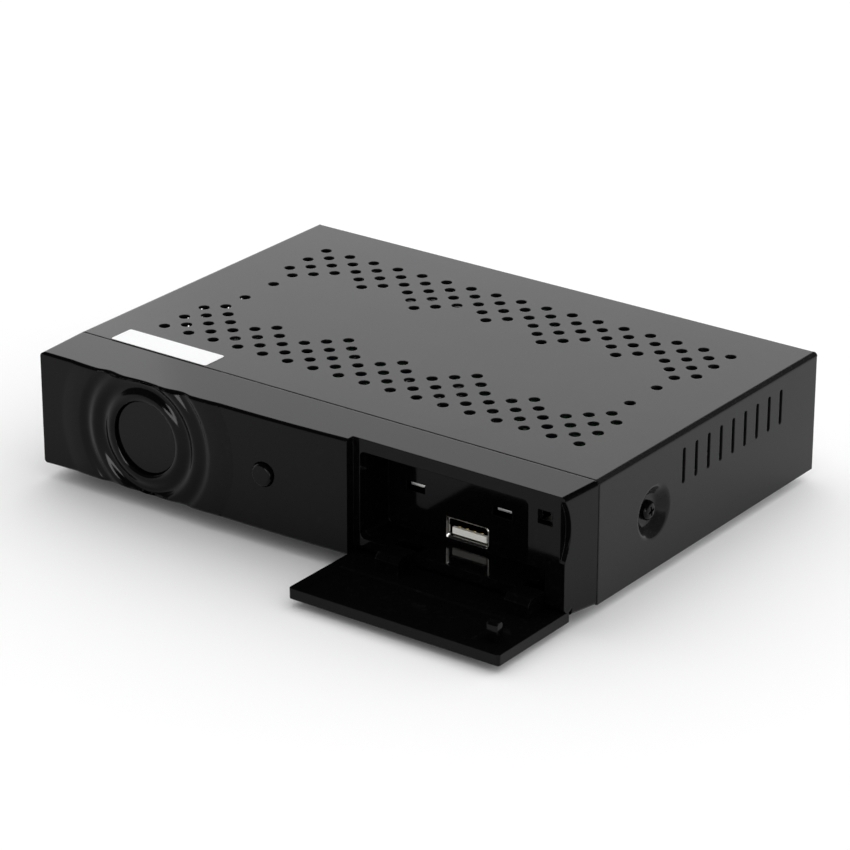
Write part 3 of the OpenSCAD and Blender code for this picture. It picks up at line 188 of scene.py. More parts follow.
def turnedPiece(name, centre, axis, side, profile, steps=32):
    # one vertex is drawn along the profile (along the axis, radius) and spun round
    clearAll()
    centre, axis, side = Vector(centre), Vector(axis), Vector(side)
    points = [centre + axis * along + side * radius for along, radius in profile]
    bpy.ops.mesh.primitive_plane_add(size=mm, location=points[0])
    piece = bpy.context.object
    piece.name = name
    startEdit(piece, "VERT")
    chooseAll()
    bpy.ops.mesh.merge(type="CENTER")
    for before, after in zip(points, points[1:]):
        bpy.ops.mesh.extrude_vertices_move(TRANSFORM_OT_translate={"value": after - before})
    chooseAll()
    bpy.ops.mesh.spin(steps=steps, angle=2 * pi, center=centre, axis=axis)
    chooseAll()
    bpy.ops.mesh.remove_doubles(threshold=2 * weld)
    bpy.ops.mesh.normals_make_consistent(inside=False)
    endEdit()
    settle(piece)
    smoothByAngle(piece, creases["turned"])
    return piece


def looseParts(node):
    # the lowest and highest corners of each separate solid of a node
    mesh = frame["nodes"][node].data
    keys = [tuple(round(c, decimals["same"]) for c in vertex.co) for vertex in mesh.vertices]
    root = {key: key for key in keys}

    def find(key):
        while root[key] != key:
            root[key] = root[root[key]]
            key = root[key]
        return key

    for face in mesh.polygons:
        first = find(keys[face.vertices[0]])
        for index in face.vertices[1:]:
            root[find(keys[index])] = first
    groups = {}
    for key in root:
        groups.setdefault(find(key), []).append(key)
    parts = []
    for members in groups.values():
        low = Vector([min(key[i] for key in members) for i in range(3)])
        high = Vector([max(key[i] for key in members) for i in range(3)])
        parts.append((low, high))
    return sorted(parts, key=lambda part: tuple(round(c, decimals["order"]) for c in part[0]))


# finishes

def place(tree, kind, values=None, wires=None):
    node = tree.nodes.new("ShaderNode" + kind)
    for key, value in (values or {}).items():
        if isinstance(key, int) or key in node.inputs:
            node.inputs[key].default_value = value
        else:
            setattr(node, key, value)
    for key, source in (wires or {}).items():
        tree.links.new(source, node.inputs[key])
    return node


def feed(tree, socket, source):
    if isinstance(source, (int, float)):
        socket.default_value = source
    elif isinstance(source, (tuple, list)):
        socket.default_value = (*source[:3], 1)
    else:
        tree.links.new(source, socket)


def calculate(tree, operation, *sources, clamp=False):
    node = place(tree, "Math", {"operation": operation, "use_clamp": clamp})
    for socket, source in zip(node.inputs, sources):
        feed(tree, socket, source)
    return node.outputs[0]


def blendColors(tree, factor, first, second):
    node = place(tree, "Mix", {"data_type": "RGBA"})
    for index, source in ((0, factor), (6, first), (7, second)):
        feed(tree, node.inputs[index], source)
    return node.outputs[2]


def newSocket(group, label, way):
    kind = label if label in ("Vector", "Color") else "Float"
    return group.interface.new_socket(label, in_out=way, socket_type="NodeSocket" + kind)


def newGroup(name, **inputs):
    # every group's first input is a place on the piece
    group = bpy.data.node_groups.new(name, "ShaderNodeTree")
    newSocket(group, "Vector", "INPUT")
    for label, value in inputs.items():
        newSocket(group, label, "INPUT").default_value = value
    return group, group.nodes.new("NodeGroupInput").outputs


def closeGroup(group, **results):
    for label in results:
        newSocket(group, label, "OUTPUT")
    ends = group.nodes.new("NodeGroupOutput").inputs
    for label, source in results.items():
        group.links.new(source, ends[label])
    return group


# scales in waves per metre, shares and, in brackets, the limits between which a mask rises
patternLook = {"coarseScale": 0.33, "coarseShare": 0.35, "fineShare": 0.65,
               "fleck": (0.58, 0.72), "noiseGain": 3.0, "samples": 4, "bent": (0.985, 0.8),
               "patchScale": 380.0, "patch": (0.42, 0.66), "upward": (0.2, 0.95),
               "cloudScale": 55.0, "speckScale": 2400.0, "specks": (0.68, 0.76, 0.35, 1.0),
               "warp": 0.004, "warpScale": 160.0,
               "rowSets": ((0.0, 330.0), (45.0, 240.0)), "rowGap": 0.09, "rowSoft": 0.2,
               "rowTall": 0.42, "rowLong": 2.7, "rowShift": 0.37, "areaScale": 60.0,
               "areas": (0.49, 0.51), "padScale": 420.0, "padSpread": 0.85, "pads": (0.24, 0.2)}


def noise(tree, vector, scale, **values):
    node = place(tree, "TexNoise", values, {"Vector": vector})
    feed(tree, node.inputs["Scale"], scale)
    return node.outputs


def remap(tree, value, start, end, low=0.0, high=1.0, kind="LINEAR"):
    limits = {"interpolation_type": kind, "From Min": start, "From Max": end,
              "To Min": low, "To Max": high}
    return place(tree, "MapRange", limits, {"Value": value}).outputs[0]


def buildGrain():
    # fine and coarse grain as a height, and a mask of flecks
    tree, given = newGroup("surfaceGrain", Scale=3000.0)
    fine = noise(tree, given["Vector"], given["Scale"], Detail=2.0, Roughness=0.6)
    coarseScale = calculate(tree, "MULTIPLY", given["Scale"], patternLook["coarseScale"])
    coarse = noise(tree, given["Vector"], coarseScale, Detail=1.0)
    part = calculate(tree, "MULTIPLY", coarse[0], patternLook["coarseShare"])
    height = calculate(tree, "MULTIPLY_ADD", fine[0], patternLook["fineShare"], part)
    return closeGroup(tree, Height=height, Fleck=remap(tree, fine[0], *patternLook["fleck"]))


def buildDrift():
    # a slow change of tone over the surface
    tree, given = newGroup("toneDrift", Color=(0.5, 0.5, 0.5, 1), Drift=0.1, Scale=30.0)
    cloud = noise(tree, given["Vector"], given["Scale"], Detail=3.0)
    centred = calculate(tree, "SUBTRACT", cloud[0], 0.5)
    drifted = calculate(tree, "MULTIPLY", centred, given["Drift"])
    share = calculate(tree, "MULTIPLY_ADD", drifted, patternLook["noiseGain"], 1.0)
    tinted = place(tree, "VectorMath", {"operation": "SCALE"}, {0: given["Color"], "Scale": share})
    return closeGroup(tree, Color=tinted.outputs[0])


def buildWear():
    # rubbed edges: where the rounded normal leaves the true one
    tree, given = newGroup("edgeWear", Radius=0.0004, Amount=0.2)
    rounded = place(tree, "Bevel", {"samples": patternLook["samples"]},
                    {"Radius": given["Radius"]})
    true = place(tree, "NewGeometry")
    match = place(tree, "VectorMath", {"operation": "DOT_PRODUCT"},
                  {0: rounded.outputs[0], 1: true.outputs["Normal"]})
    edge = remap(tree, match.outputs["Value"], *patternLook["bent"])
    patch = noise(tree, given["Vector"], patternLook["patchScale"], Detail=4.0)
    both = calculate(tree, "MULTIPLY", edge, remap(tree, patch[0], *patternLook["patch"]))
    return closeGroup(tree, Mask=calculate(tree, "MULTIPLY", both, given["Amount"], clamp=True))


def buildDust():
    # a thin film of dust on what faces up
    tree, given = newGroup("dustFilm", Amount=0.1)
    facing = place(tree, "NewGeometry")
    parts = place(tree, "SeparateXYZ", None, {0: facing.outputs["Normal"]})
    upward = remap(tree, parts.outputs["Z"], *patternLook["upward"])
    cloud = noise(tree, given["Vector"], patternLook["cloudScale"], Detail=6.0, Roughness=0.7)
    specks = noise(tree, given["Vector"], patternLook["speckScale"], Detail=1.0)
    film = calculate(tree, "MULTIPLY", cloud[0], remap(tree, specks[0], *patternLook["specks"]))
    lying = calculate(tree, "MULTIPLY", film, upward)
    return closeGroup(tree, Mask=calculate(tree, "MULTIPLY", lying, given["Amount"], clamp=True))


def buildHandling():
    # roughness that changes a little, as on a surface that has been wiped and touched
    tree, given = newGroup("handledSheen", Base=0.4, Spread=0.05, Scale=40.0)
    cloud = noise(tree, given["Vector"], given["Scale"], Detail=5.0, Roughness=0.6, Distortion=0.6)
    centred = calculate(tree, "SUBTRACT", cloud[0], 0.5)
    spread = calculate(tree, "MULTIPLY", centred, given["Spread"])
    rough = calculate(tree, "MULTIPLY_ADD", spread, patternLook["noiseGain"], given["Base"],
                      clamp=True)
    return closeGroup(tree, Roughness=rough)


def buildSpangle():
    # zinc crystals on coated sheet
    tree, given = newGroup("zincSpangle", Scale=400.0)
    warp = noise(tree, given["Vector"], patternLook["warpScale"], Detail=2.0)
    shift = place(tree, "VectorMath", {"operation": "SCALE", "Scale": patternLook["warp"]},
                  {0: warp["Color"]})
    moved = place(tree, "VectorMath", {"operation": "ADD"},
                  {0: given["Vector"], 1: shift.outputs[0]})
    cells = place(tree, "TexVoronoi", None, {"Vector": moved.outputs[0], "Scale": given["Scale"]})
    parts = place(tree, "SeparateColor", None, {0: cells.outputs["Color"]})
    return closeGroup(tree, Tone=parts.outputs[0])


def buildTraces():
    # copper tracks under the solder mask, as two crossed sets of thin lines
    tree, given = newGroup("boardTracks")
    lines = []
    for turn, scale in patternLook["rowSets"]:
        turned = place(tree, "Mapping", {"Rotation": (0, 0, radians(turn))},
                       {"Vector": given["Vector"]})
        rows = place(tree, "TexBrick", {
            "Scale": scale, "Mortar Size": patternLook["rowGap"],
            "Mortar Smooth": patternLook["rowSoft"], "Brick Width": patternLook["rowLong"],
            "Row Height": patternLook["rowTall"], "offset": patternLook["rowShift"]},
            {"Vector": turned.outputs[0]})
        lines.append(rows.outputs["Fac"])
    areas = noise(tree, given["Vector"], patternLook["areaScale"], Detail=1.0)
    which = remap(tree, areas[0], *patternLook["areas"])
    other = calculate(tree, "SUBTRACT", 1.0, which)
    firstPart = calculate(tree, "MULTIPLY", lines[0], which)
    mask = calculate(tree, "MULTIPLY_ADD", lines[1], other, firstPart)
    dots = place(tree, "TexVoronoi", {"Scale": patternLook["padScale"],
                                      "Randomness": patternLook["padSpread"]},
                 {"Vector": given["Vector"]})
    pads = remap(tree, dots.outputs["Distance"], *patternLook["pads"])
    return closeGroup(tree, Mask=mask, Pads=pads)


groups = {"grain": buildGrain(), "drift": buildDrift(), "wear": buildWear(), "dust": buildDust(),
          "handling": buildHandling(), "spangle": buildSpangle(), "tracks": buildTraces()}

# what a user would change: colour, sheen and detail of each finish, lengths in metres,
# grain in waves per metre; plainLook holds where a finish says nothing else
plainLook = {"spread": 0.05, "metal": 0.0, "specular": 0.5, "drift": 0.05, "wear": 0.1,
             "dust": 0.05, "radius": 0.0001, "coat": 0.0, "extra": None}
finishLooks = {
    "cover_paint": {"color": (0.0065, 0.0065, 0.0069), "rough": 0.17, "spread": 0.025,
                    "specular": 0.17, "grain": 2600, "depth": 5e-6, "drift": 0.1,
                    "wornColor": (0.1, 0.1, 0.105), "radius": 0.0003},
    "tray_steel": {"color": (0.5, 0.51, 0.52), "rough": 0.36, "metal": 1.0, "grain": 1800,
                   "depth": 5e-6, "wornColor": (0.7, 0.7, 0.71), "dust": 0.06, "radius": 0.0002,
                   "extra": "spangle"},
    "gloss_black": {"color": (0.0012, 0.0012, 0.0013), "rough": 0.085, "spread": 0.03,
                    "specular": 0.12, "grain": 900, "depth": 1.2e-6, "drift": 0.08, "wear": 0.12,
                    "wornColor": (0.02, 0.02, 0.022), "dust": 0.008, "radius": 0.0003},
    "window_black": {"color": (0.002, 0.0017, 0.0023), "rough": 0.06, "spread": 0.02,
                     "specular": 0.14, "grain": 700, "depth": 6e-7, "drift": 0.1, "wear": 0.05,
                     "wornColor": (0.02, 0.02, 0.02), "dust": 0.01, "radius": 0.0002},
    "satin_black": {"color": (0.006, 0.006, 0.0065), "rough": 0.34, "specular": 0.25,
                    "grain": 2200, "depth": 1.4e-5, "drift": 0.1, "wear": 0.15,
                    "wornColor": (0.05, 0.05, 0.052), "dust": 0.06, "radius": 0.0002},
    "nickel": {"color": (0.7, 0.69, 0.66), "rough": 0.17, "spread": 0.06, "metal": 1.0,
               "grain": 2400, "depth": 2e-6, "wornColor": (0.8, 0.76, 0.66), "dust": 0.03,
               "radius": 0.00012},
    "steel": {"color": (0.52, 0.52, 0.51), "rough": 0.28, "spread": 0.07, "metal": 1.0,
              "grain": 3000, "depth": 3e-6, "drift": 0.08, "wear": 0.15,
              "wornColor": (0.7, 0.7, 0.7), "dust": 0.03, "radius": 0.00012},
    "white_plastic": {"color": (0.8, 0.79, 0.74), "rough": 0.4, "grain": 2400, "depth": 5e-6,
                      "drift": 0.04, "wear": 0.05, "wornColor": (0.86, 0.85, 0.82)},
    "gold_plate": {"color": (0.83, 0.62, 0.24), "rough": 0.18, "metal": 1.0, "grain": 4000,
                   "depth": 1e-6, "wornColor": (0.8, 0.72, 0.5), "dust": 0.02, "radius": 5e-5},
    "board_green": {"color": (0.016, 0.095, 0.042), "rough": 0.3, "grain": 1600, "depth": 4e-6,
                    "drift": 0.08, "wear": 0.05, "wornColor": (0.3, 0.26, 0.12),
                    "extra": "tracks"},
    "grey_ribbon": {"color": (0.55, 0.55, 0.57), "rough": 0.42, "spread": 0.04, "specular": 0.4,
                    "grain": 1500, "depth": 2e-5, "wear": 0.0, "wornColor": (0.6, 0.6, 0.6),
                    "radius": 5e-5, "extra": "wires"},
    "light_green": {"color": (0.2, 0.7, 0.25), "rough": 0.12, "spread": 0.02, "grain": 900,
                    "depth": 1e-6, "drift": 0.15, "wear": 0.0, "wornColor": (0.3, 0.8, 0.3),
                    "dust": 0.02, "coat": 0.6},
    "chip_black": {"color": (0.012, 0.012, 0.014), "rough": 0.52, "spread": 0.06, "specular": 0.4,
                   "grain": 3800, "depth": 1.6e-5, "drift": 0.12, "wornColor": (0.06, 0.06, 0.06),
                   "dust": 0.08},
    "aluminium": {"color": (0.68, 0.69, 0.71), "rough": 0.33, "spread": 0.06, "metal": 1.0,
                  "grain": 2600, "depth": 6e-6, "drift": 0.04, "wornColor": (0.8, 0.8, 0.8),
                  "stretch": (1, 0.03, 1)},
    "can_blue": {"color": (0.02, 0.03, 0.12), "rough": 0.3, "grain": 1400, "depth": 4e-6,
                 "drift": 0.08, "wear": 0.05, "wornColor": (0.1, 0.12, 0.2)},
    "ferrite": {"color": (0.03, 0.03, 0.033), "rough": 0.6, "spread": 0.06, "specular": 0.35,
                "grain": 3200, "depth": 3e-5, "drift": 0.15, "wear": 0.2,
                "wornColor": (0.12, 0.12, 0.12), "dust": 0.08, "radius": 0.0002},
    "yellow_plastic": {"color": (0.78, 0.56, 0.02), "rough": 0.3, "grain": 1800, "depth": 4e-6,
                       "wear": 0.0, "wornColor": (0.8, 0.7, 0.3), "dust": 0.03},
    "red_plastic": {"color": (0.6, 0.02, 0.02), "rough": 0.3, "grain": 1800, "depth": 4e-6,
                    "wear": 0.0, "wornColor": (0.7, 0.2, 0.2), "dust": 0.03},
    "brass": {"color": (0.68, 0.5, 0.22), "rough": 0.27, "spread": 0.06, "metal": 1.0,
              "grain": 2600, "depth": 3e-6, "drift": 0.08, "wornColor": (0.8, 0.66, 0.36),
              "dust": 0.03},
    "rubber": {"color": (0.014, 0.014, 0.0145), "rough": 0.68, "spread": 0.07, "specular": 0.3,
               "grain": 1900, "depth": 2.5e-5, "drift": 0.15, "wear": 0.2,
               "wornColor": (0.05, 0.05, 0.05), "dust": 0.12, "radius": 0.0004},
    "paper": {"color": (0.86, 0.865, 0.87), "rough": 0.42, "specular": 0.45, "grain": 2000,
              "depth": 8e-6, "drift": 0.02, "wornColor": (0.7, 0.69, 0.66), "dust": 0.03,
              "stretch": (1, 0.4, 1)},
}


def useGroup(tree, key, where, **values):
    node = tree.nodes.new("ShaderNodeGroup")
    node.node_tree = groups[key]
    tree.links.new(where, node.inputs["Vector"])
    for label, value in values.items():
        node.inputs[label].default_value = value
    return node.outputs


# what all finishes share: lengths and strengths of the layers over their own colour
layerLook = {"coatRough": 0.04, "wearWide": 1.5, "wearGain": 2, "fleck": 0.12,
             "dustColor": (0.42, 0.4, 0.37), "dustRough": 0.8,
             "zincDark": 0.72, "zincTone": 0.36, "zincRough": 0.12,
             "trackTone": 0.5, "trackColor": (0.03, 0.17, 0.07), "trackTall": 1.5,
             "padTone": 0.85, "padColor": (0.5, 0.5, 0.47),
             "wireScale": 160.0, "wireTone": 0.4, "wireColor": (0.32, 0.32, 0.34), "wireTall": 2.0}


def tintBy(tree, mask, share, color, tint):
    return blendColors(tree, calculate(tree, "MULTIPLY", mask, share), color, tint)


def makeFinish(name, look):
    look = {**layerLook, **plainLook, **look}
    finish = bpy.data.materials.new(name)
    finish.use_nodes = True
    tree = finish.node_tree
    shader = tree.nodes["Principled BSDF"]
    shader.inputs["Metallic"].default_value = look["metal"]
    shader.inputs["Specular IOR Level"].default_value = look["specular"]
    shader.inputs["Coat Weight"].default_value = look["coat"]
    shader.inputs["Coat Roughness"].default_value = look["coatRough"]
    where = place(tree, "TexCoord").outputs["Object"]
    grainWhere = where
    if "stretch" in look:
        stretched = place(tree, "Mapping", {"Scale": look["stretch"]}, {"Vector": where})
        grainWhere = stretched.outputs[0]
    grain = useGroup(tree, "grain", grainWhere, Scale=look["grain"])
    tone = useGroup(tree, "drift", where, Color=(*look["color"], 1), Drift=look["drift"])
    sheen = useGroup(tree, "handling", where, Base=look["rough"], Spread=look["spread"])
    color, rough, height = tone["Color"], sheen["Roughness"], grain["Height"]
    if look["extra"] == "spangle":
        zinc = useGroup(tree, "spangle", where)
        dark = tuple(channel * look["zincDark"] for channel in look["color"])
        color = tintBy(tree, zinc["Tone"], look["zincTone"], color, dark)
        rough = calculate(tree, "MULTIPLY_ADD", zinc["Tone"], look["zincRough"], rough)
    elif look["extra"] == "tracks":
        tracks = useGroup(tree, "tracks", where)
        color = tintBy(tree, tracks["Mask"], look["trackTone"], color, look["trackColor"])
        color = tintBy(tree, tracks["Pads"], look["padTone"], color, look["padColor"])
        height = calculate(tree, "MULTIPLY_ADD", tracks["Mask"], look["trackTall"], height)
    elif look["extra"] == "wires":
        rows = place(tree, "TexWave", {"Scale": look["wireScale"], "Distortion": 0.0},
                     {"Vector": where}).outputs["Fac"]
        color = tintBy(tree, rows, look["wireTone"], color, look["wireColor"])
        height = calculate(tree, "MULTIPLY_ADD", rows, look["wireTall"], height)
    color = tintBy(tree, grain["Fleck"], look["fleck"], color, look["wornColor"])
    if look["wear"]:
        worn = useGroup(tree, "wear", where, Radius=look["radius"] * look["wearWide"],
                        Amount=look["wear"] * look["wearGain"])
        color = blendColors(tree, worn["Mask"], color, look["wornColor"])
    dust = useGroup(tree, "dust", where, Amount=look["dust"])
    color = blendColors(tree, dust["Mask"], color, look["dustColor"])
    rough = calculate(tree, "MULTIPLY_ADD", dust["Mask"], look["dustRough"], rough, clamp=True)
    rounded = place(tree, "Bevel", {"Radius": look["radius"], "samples": patternLook["samples"]})
    bump = place(tree, "Bump", {"Strength": 1.0, "Distance": look["depth"]},
                 {"Height": height, "Normal": rounded.outputs[0]})
    tree.links.new(color, shader.inputs["Base Color"])
    tree.links.new(rough, shader.inputs["Roughness"])
    tree.links.new(bump.outputs[0], shader.inputs["Normal"])
    return finish


finishes = {name: makeFinish(name, look) for name, look in finishLooks.items()}
nodeFinish = {row["node"]: row["material_slot"] for row in frame["record"]["subparts"]}
for nodeName, cadPiece in frame["nodes"].items():
    for slotIndex in range(len(cadPiece.material_slots)):
        cadPiece.material_slots[slotIndex].material = finishes[nodeFinish[nodeName]]
print("stage 2: finishes made,", len(finishes))


def dress(piece, finish, body, *nodes):
    # gives a new piece its finish, the body it rides on and the nodes it stands for
    piece.data.materials.clear()
    piece.data.materials.append(finishes[finish])
    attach(piece, body)
    if nodes:
        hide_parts(*nodes)
    return piece


# moulded and folded pieces: copies of the frame's solids with their edges broken, each with
# the width of its rounded edges in metres, and their steps and its body if not 2 and the case
softPieces = {
    "flap_panel": ("flapPanel", 0.00045, 3, "flap"),
    "flap_lugs": ("flapLugs", 0.0003, 2, "flap"),
    "flap_latch": ("flapLatch", 0.0002, 2, "flap"),
    "front_bezel": ("frontBezel", 0.0002),
    "compartment_liner": ("compartmentLiner", 0.0002),
    "chassis_tray": ("chassisTray", 0.00015),
    "rear_panel": ("rearPanel", 0.00015),
    "heat_sink": ("heatSink", 0.00015),
    "decoder_chip": ("decoderChip", 0.0001),
    "memory_chips": ("memoryChips", 0.0001),
    "tuner_can": ("tunerCan", 0.0002),
    "av_block": ("phonoBlock", 0.0002),
    "hdmi_shell": ("pictureShell", 0.00012),
    "lan_jack": ("networkJack", 0.0002),
    "dc_inlet": ("powerInlet", 0.0002),
    "switch_frame": ("switchFrame", 0.0003, 3),
    "power_rocker": ("switchRocker", 0.00035, 3, "rocker"),
    "rubber_feet": ("rubberFeet", 0.0004, 3),
    "lens_window": ("roundWindow", 0.00025, 3),
    "standby_button": ("roundButton", 0.0005, 4, "button"),
    "ribbon_sockets": ("ribbonSockets", 0.0001),
    "tact_switch": ("pushSwitch", 0.0001),
    "usb_tongue": ("usbTongue", 0.00012),
    "usb_contacts": ("usbContacts", 0.0001),
    "hdmi_tongue": ("pictureTongue", 0.0001),
    "shield_plate": ("screeningPlate", 0.0001),
    "data_jack": ("dataJack", 0.0002),
    "av_shells": ("phonoShells", 0.0002),
    "dc_pin": ("powerPin", 0.0002),
    "power_coils": ("powerCoils", 0.0004, 3),
}
# seen in the photo: the latch finger shines like the flap
otherFinish = {"flap_latch": "gloss_black"}
# solids' flats may be out by this many degrees
flatDegrees = 0.1

faceLook = {"deep": 0.0024, "near": 0.00012, "skin": 0.001, "tall": 0.010, "long": 0.005,
            "sharp": 50, "edge": 0.0009, "upright": 0.0009, "lower": 0.0012, "steps": 4}


def roundFace(piece):
    # the bezel's front edges and lower corners are rounder than its other edges
    low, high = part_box("front_bezel")
    front = low.y + faceLook["deep"]
    inFace = [v.co for v in piece.data.vertices if v.co.y < low.y + faceLook["skin"]]
    wide = max(abs(co.x) for co in inFace)
    foot = min(co.z for co in inFace)
    near = faceLook["near"]
    startEdit(piece, "EDGE")

    def isSharp(edge):
        return len(edge.link_faces) == 2 and edge.calc_face_angle() > radians(faceLook["sharp"])

    def isOutside(edge):
        return all(abs(v.co.x) > wide - near for v in edge.verts)

    def isFoot(edge):
        return all(v.co.z < foot + near for v in edge.verts)

    def isFront(edge):
        return isSharp(edge) and all(v.co.y < front for v in edge.verts)

    def isUpright(edge):
        rise = abs(edge.verts[0].co.z - edge.verts[1].co.z)
        return isFront(edge) and isOutside(edge) and rise > faceLook["tall"]

    def isLower(edge):
        return (isSharp(edge) and edge.calc_length() > faceLook["long"]
                and isOutside(edge) and isFoot(edge))

    def isRim(edge):
        return isFront(edge) and (isFoot(edge) or all(v.co.z > high.z - near for v in edge.verts))

    for key, test in (("lower", isLower), ("upright", isUpright), ("edge", isRim)):
        print("bezel edges,", key, roundEdges(test, faceLook[key], faceLook["steps"]))
    endEdit()


def turnOver(piece):
    # the photo's socket has its contacts on the upper side of the tongue
    startEdit(piece)
    chooseAll()
    middle = sum(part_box("usb_shell"), Vector()) / 2
    bpy.ops.transform.resize(value=(1, 1, -1), center_override=middle)
    bpy.ops.mesh.normals_make_consistent(inside=False)
    endEdit()


def softCopy(node, name, width, segments=2, body="case"):
    piece = mergedCopy(node, name, flatDegrees)
    endEdit()
    if node == "front_bezel":
        roundFace(piece)
    elif node in ("usb_tongue", "usb_contacts"):
        turnOver(piece)
    softenEdges(piece, width, segments)
    return dress(piece, otherFinish.get(node, nodeFinish[node]), body, node)


for nodeName, pieceLook in softPieces.items():
    softCopy(nodeName, *pieceLook)
print("stage 3: edges broken on", len(softPieces), "pieces")


# top cover: the rims that show are rounded, and the pressed dimples more

coverLook = {"flat": 0.5, "sharp": 40, "near": 0.00002, "rim": 0.00006, "edge": 0.00035,
             "steps": 2, "dimpleRim": 0.0074, "dimpleFloor": 0.0044, "dimpleDeep": 0.0026,
             "dimpleNear": 0.0001, "pressed": 0.0007, "pressedSteps": 4}


def makeCover():
    low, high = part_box("top_cover")
    piece = mergedCopy("top_cover", "topCover", coverLook["flat"], "EDGE")
    near = coverLook["near"]

    def isOuter(edge):
        if len(edge.link_faces) != 2 or edge.calc_face_angle() < radians(coverLook["sharp"]):
            return False
        return (all(v.co.z > high.z - near for v in edge.verts)
                or all(abs(v.co.x) > high.x - near for v in edge.verts))

    def isEnd(edge):
        return (all(v.co.y < low.y + near for v in edge.verts)
                or all(v.co.y > high.y - near for v in edge.verts))

    screw = sum(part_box("side_screws"), Vector()) / 2
    ringNear = coverLook["dimpleNear"]

    def onRing(edge, radius, deep):
        return all(abs((v.co.yz - screw.yz).length - radius) < ringNear
                   and abs(abs(v.co.x) - high.x + deep) < ringNear for v in edge.verts)

    def isPressed(edge):
        return (onRing(edge, coverLook["dimpleRim"], 0)
                or onRing(edge, coverLook["dimpleFloor"], coverLook["dimpleDeep"]))

    rounds = [("dimple", isPressed, coverLook["pressed"], coverLook["pressedSteps"]),
              ("end", lambda e: isOuter(e) and isEnd(e), coverLook["edge"], coverLook["steps"]),
              ("hole", lambda e: isOuter(e) and not isEnd(e), coverLook["rim"], 1)]
    for key, test, width, steps in rounds:
        print("cover edges,", key, roundEdges(test, width, steps))
    endEdit()
    smoothByAngle(piece)
    applyModifier(piece, "WEIGHTED_NORMAL", keep_sharp=True)
    return dress(piece, "cover_paint", "case", "top_cover")


makeCover()


# USB socket: folded shell with a flared mouth and sprung tabs

usbLook = {"skin": 0.00035, "corner": 0.0010, "cornerSteps": 4, "lip": 0.00025, "lipSteps": 2,
           "flare": 0.00022, "edge": 0.00006, "edgeSteps": 2}
# sprung tabs: places across the shell as shares of its width, bands along each tab from its
# tip, and how far each band's end dips as a share of the dip
tabLook = {"across": (-0.27, 0.27), "wide": 0.0022, "long": 0.0046, "at": 0.0028, "slot": 0.00035,
           "root": 0.0001, "cut": 3, "near": 0.00005, "bands": 5, "dip": 0.0006,
           "drops": (0.75, 1.0, 0.7, 0.35)}


def cutTab(shell, x, z, face, start):
    # cuts the window and gives back the tab that stands in it
    end = start + tabLook["long"]
    half = tabLook["wide"] / 2
    deep = tabLook["cut"] * usbLook["skin"]
    carve(shell, newBlock("cutter", (x - half, start, z - deep), (x + half, end, z + deep)))
    inner = half - tabLook["slot"]
    tip = start + tabLook["slot"]
    bottom, top = sorted((z - face * usbLook["skin"], z))
    spring = newBlock("usbSpring", (x - inner, tip, bottom),
                      (x + inner, end + tabLook["root"], top))
    startEdit(spring, "VERT")
    ends = [start + (end - start) * step / tabLook["bands"] for step in range(tabLook["bands"])]
    for at in ends[1:]:
        chooseAll()
        bpy.ops.mesh.bisect(plane_co=(x, at, z), plane_no=(0, 1, 0))
    for at, drop in zip([tip] + ends[1:], tabLook["drops"]):
        choose("verts", lambda v: abs(v.co.y - at) < tabLook["near"])
        bpy.ops.transform.translate(value=(0, 0, -face * tabLook["dip"] * drop))
    endEdit()
    return spring


def makeUsbShell():
    low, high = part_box("usb_shell")
    centre, size = (low + high) / 2, high - low
    shell = newBlock("usbShell", low, high)
    startEdit(shell, "EDGE")
    roundEdges(lambda e: runsAlong(e, 1), usbLook["corner"], usbLook["cornerSteps"])
    bpy.ops.mesh.select_mode(type="FACE")
    choose("faces", lambda f: f.normal.y < -alongAxis)
    bpy.ops.mesh.delete(type="FACE")
    bpy.ops.mesh.select_mode(type="EDGE")
    choose("edges", lambda e: len(e.link_faces) == 1)
    wider = (1 + 2 * usbLook["flare"] / size.x, 1, 1 + 2 * usbLook["flare"] / size.z)
    for step in range(usbLook["lipSteps"]):
        bpy.ops.mesh.extrude_edges_move(TRANSFORM_OT_translate={"value": (0, -usbLook["lip"], 0)})
        bpy.ops.transform.resize(value=wider, center_override=centre)
    endEdit()
    applyModifier(shell, "SOLIDIFY", thickness=usbLook["skin"], offset=-1, use_even_offset=True)
    springs = []
    for share in tabLook["across"]:
        x = centre.x + share * size.x
        for face, z in ((1, high.z), (-1, low.z)):
            springs.append(cutTab(shell, x, z, face, low.y + tabLook["at"]))
    shell = joinUp([shell] + springs, "usbShell")
    softenEdges(shell, usbLook["edge"], usbLook["edgeSteps"])
    return dress(shell, "nickel", "case", "usb_shell")


makeUsbShell()
print("stage 4: USB shell folded")


# threaded aerial sockets and their hexagon nuts

# lengths in metres; crestEnd, flankEnd, rootEnd and runOut are shares of the pitch,
# leadShare one of the lead
aerialLook = {"pitch": 0.0008, "bite": 0.0004, "crestEnd": 0.2, "flankEnd": 0.55, "rootEnd": 0.65,
              "threaded": 0.0073, "shank": 0.00497, "crest": 0.00476, "lead": 0.0006,
              "leadShare": 0.8, "runOut": 0.6, "boreDeep": 0.010, "mouth": 0.0003, "steps": 40}
# coneWide and coneEnd are shares of the radius, topWide of the flats', coneAt of the height
nutLook = {"sides": 6, "turn": 30, "bore": 0.00503, "coneWide": 1.1, "coneEnd": 1.02,
           "coneAt": 0.62, "topWide": 0.98, "past": 0.001, "tip": 0.00001, "sink": 0.0004,
           "mouth": 0.0065, "edge": 0.00008, "coneSteps": 48, "steps": 40}


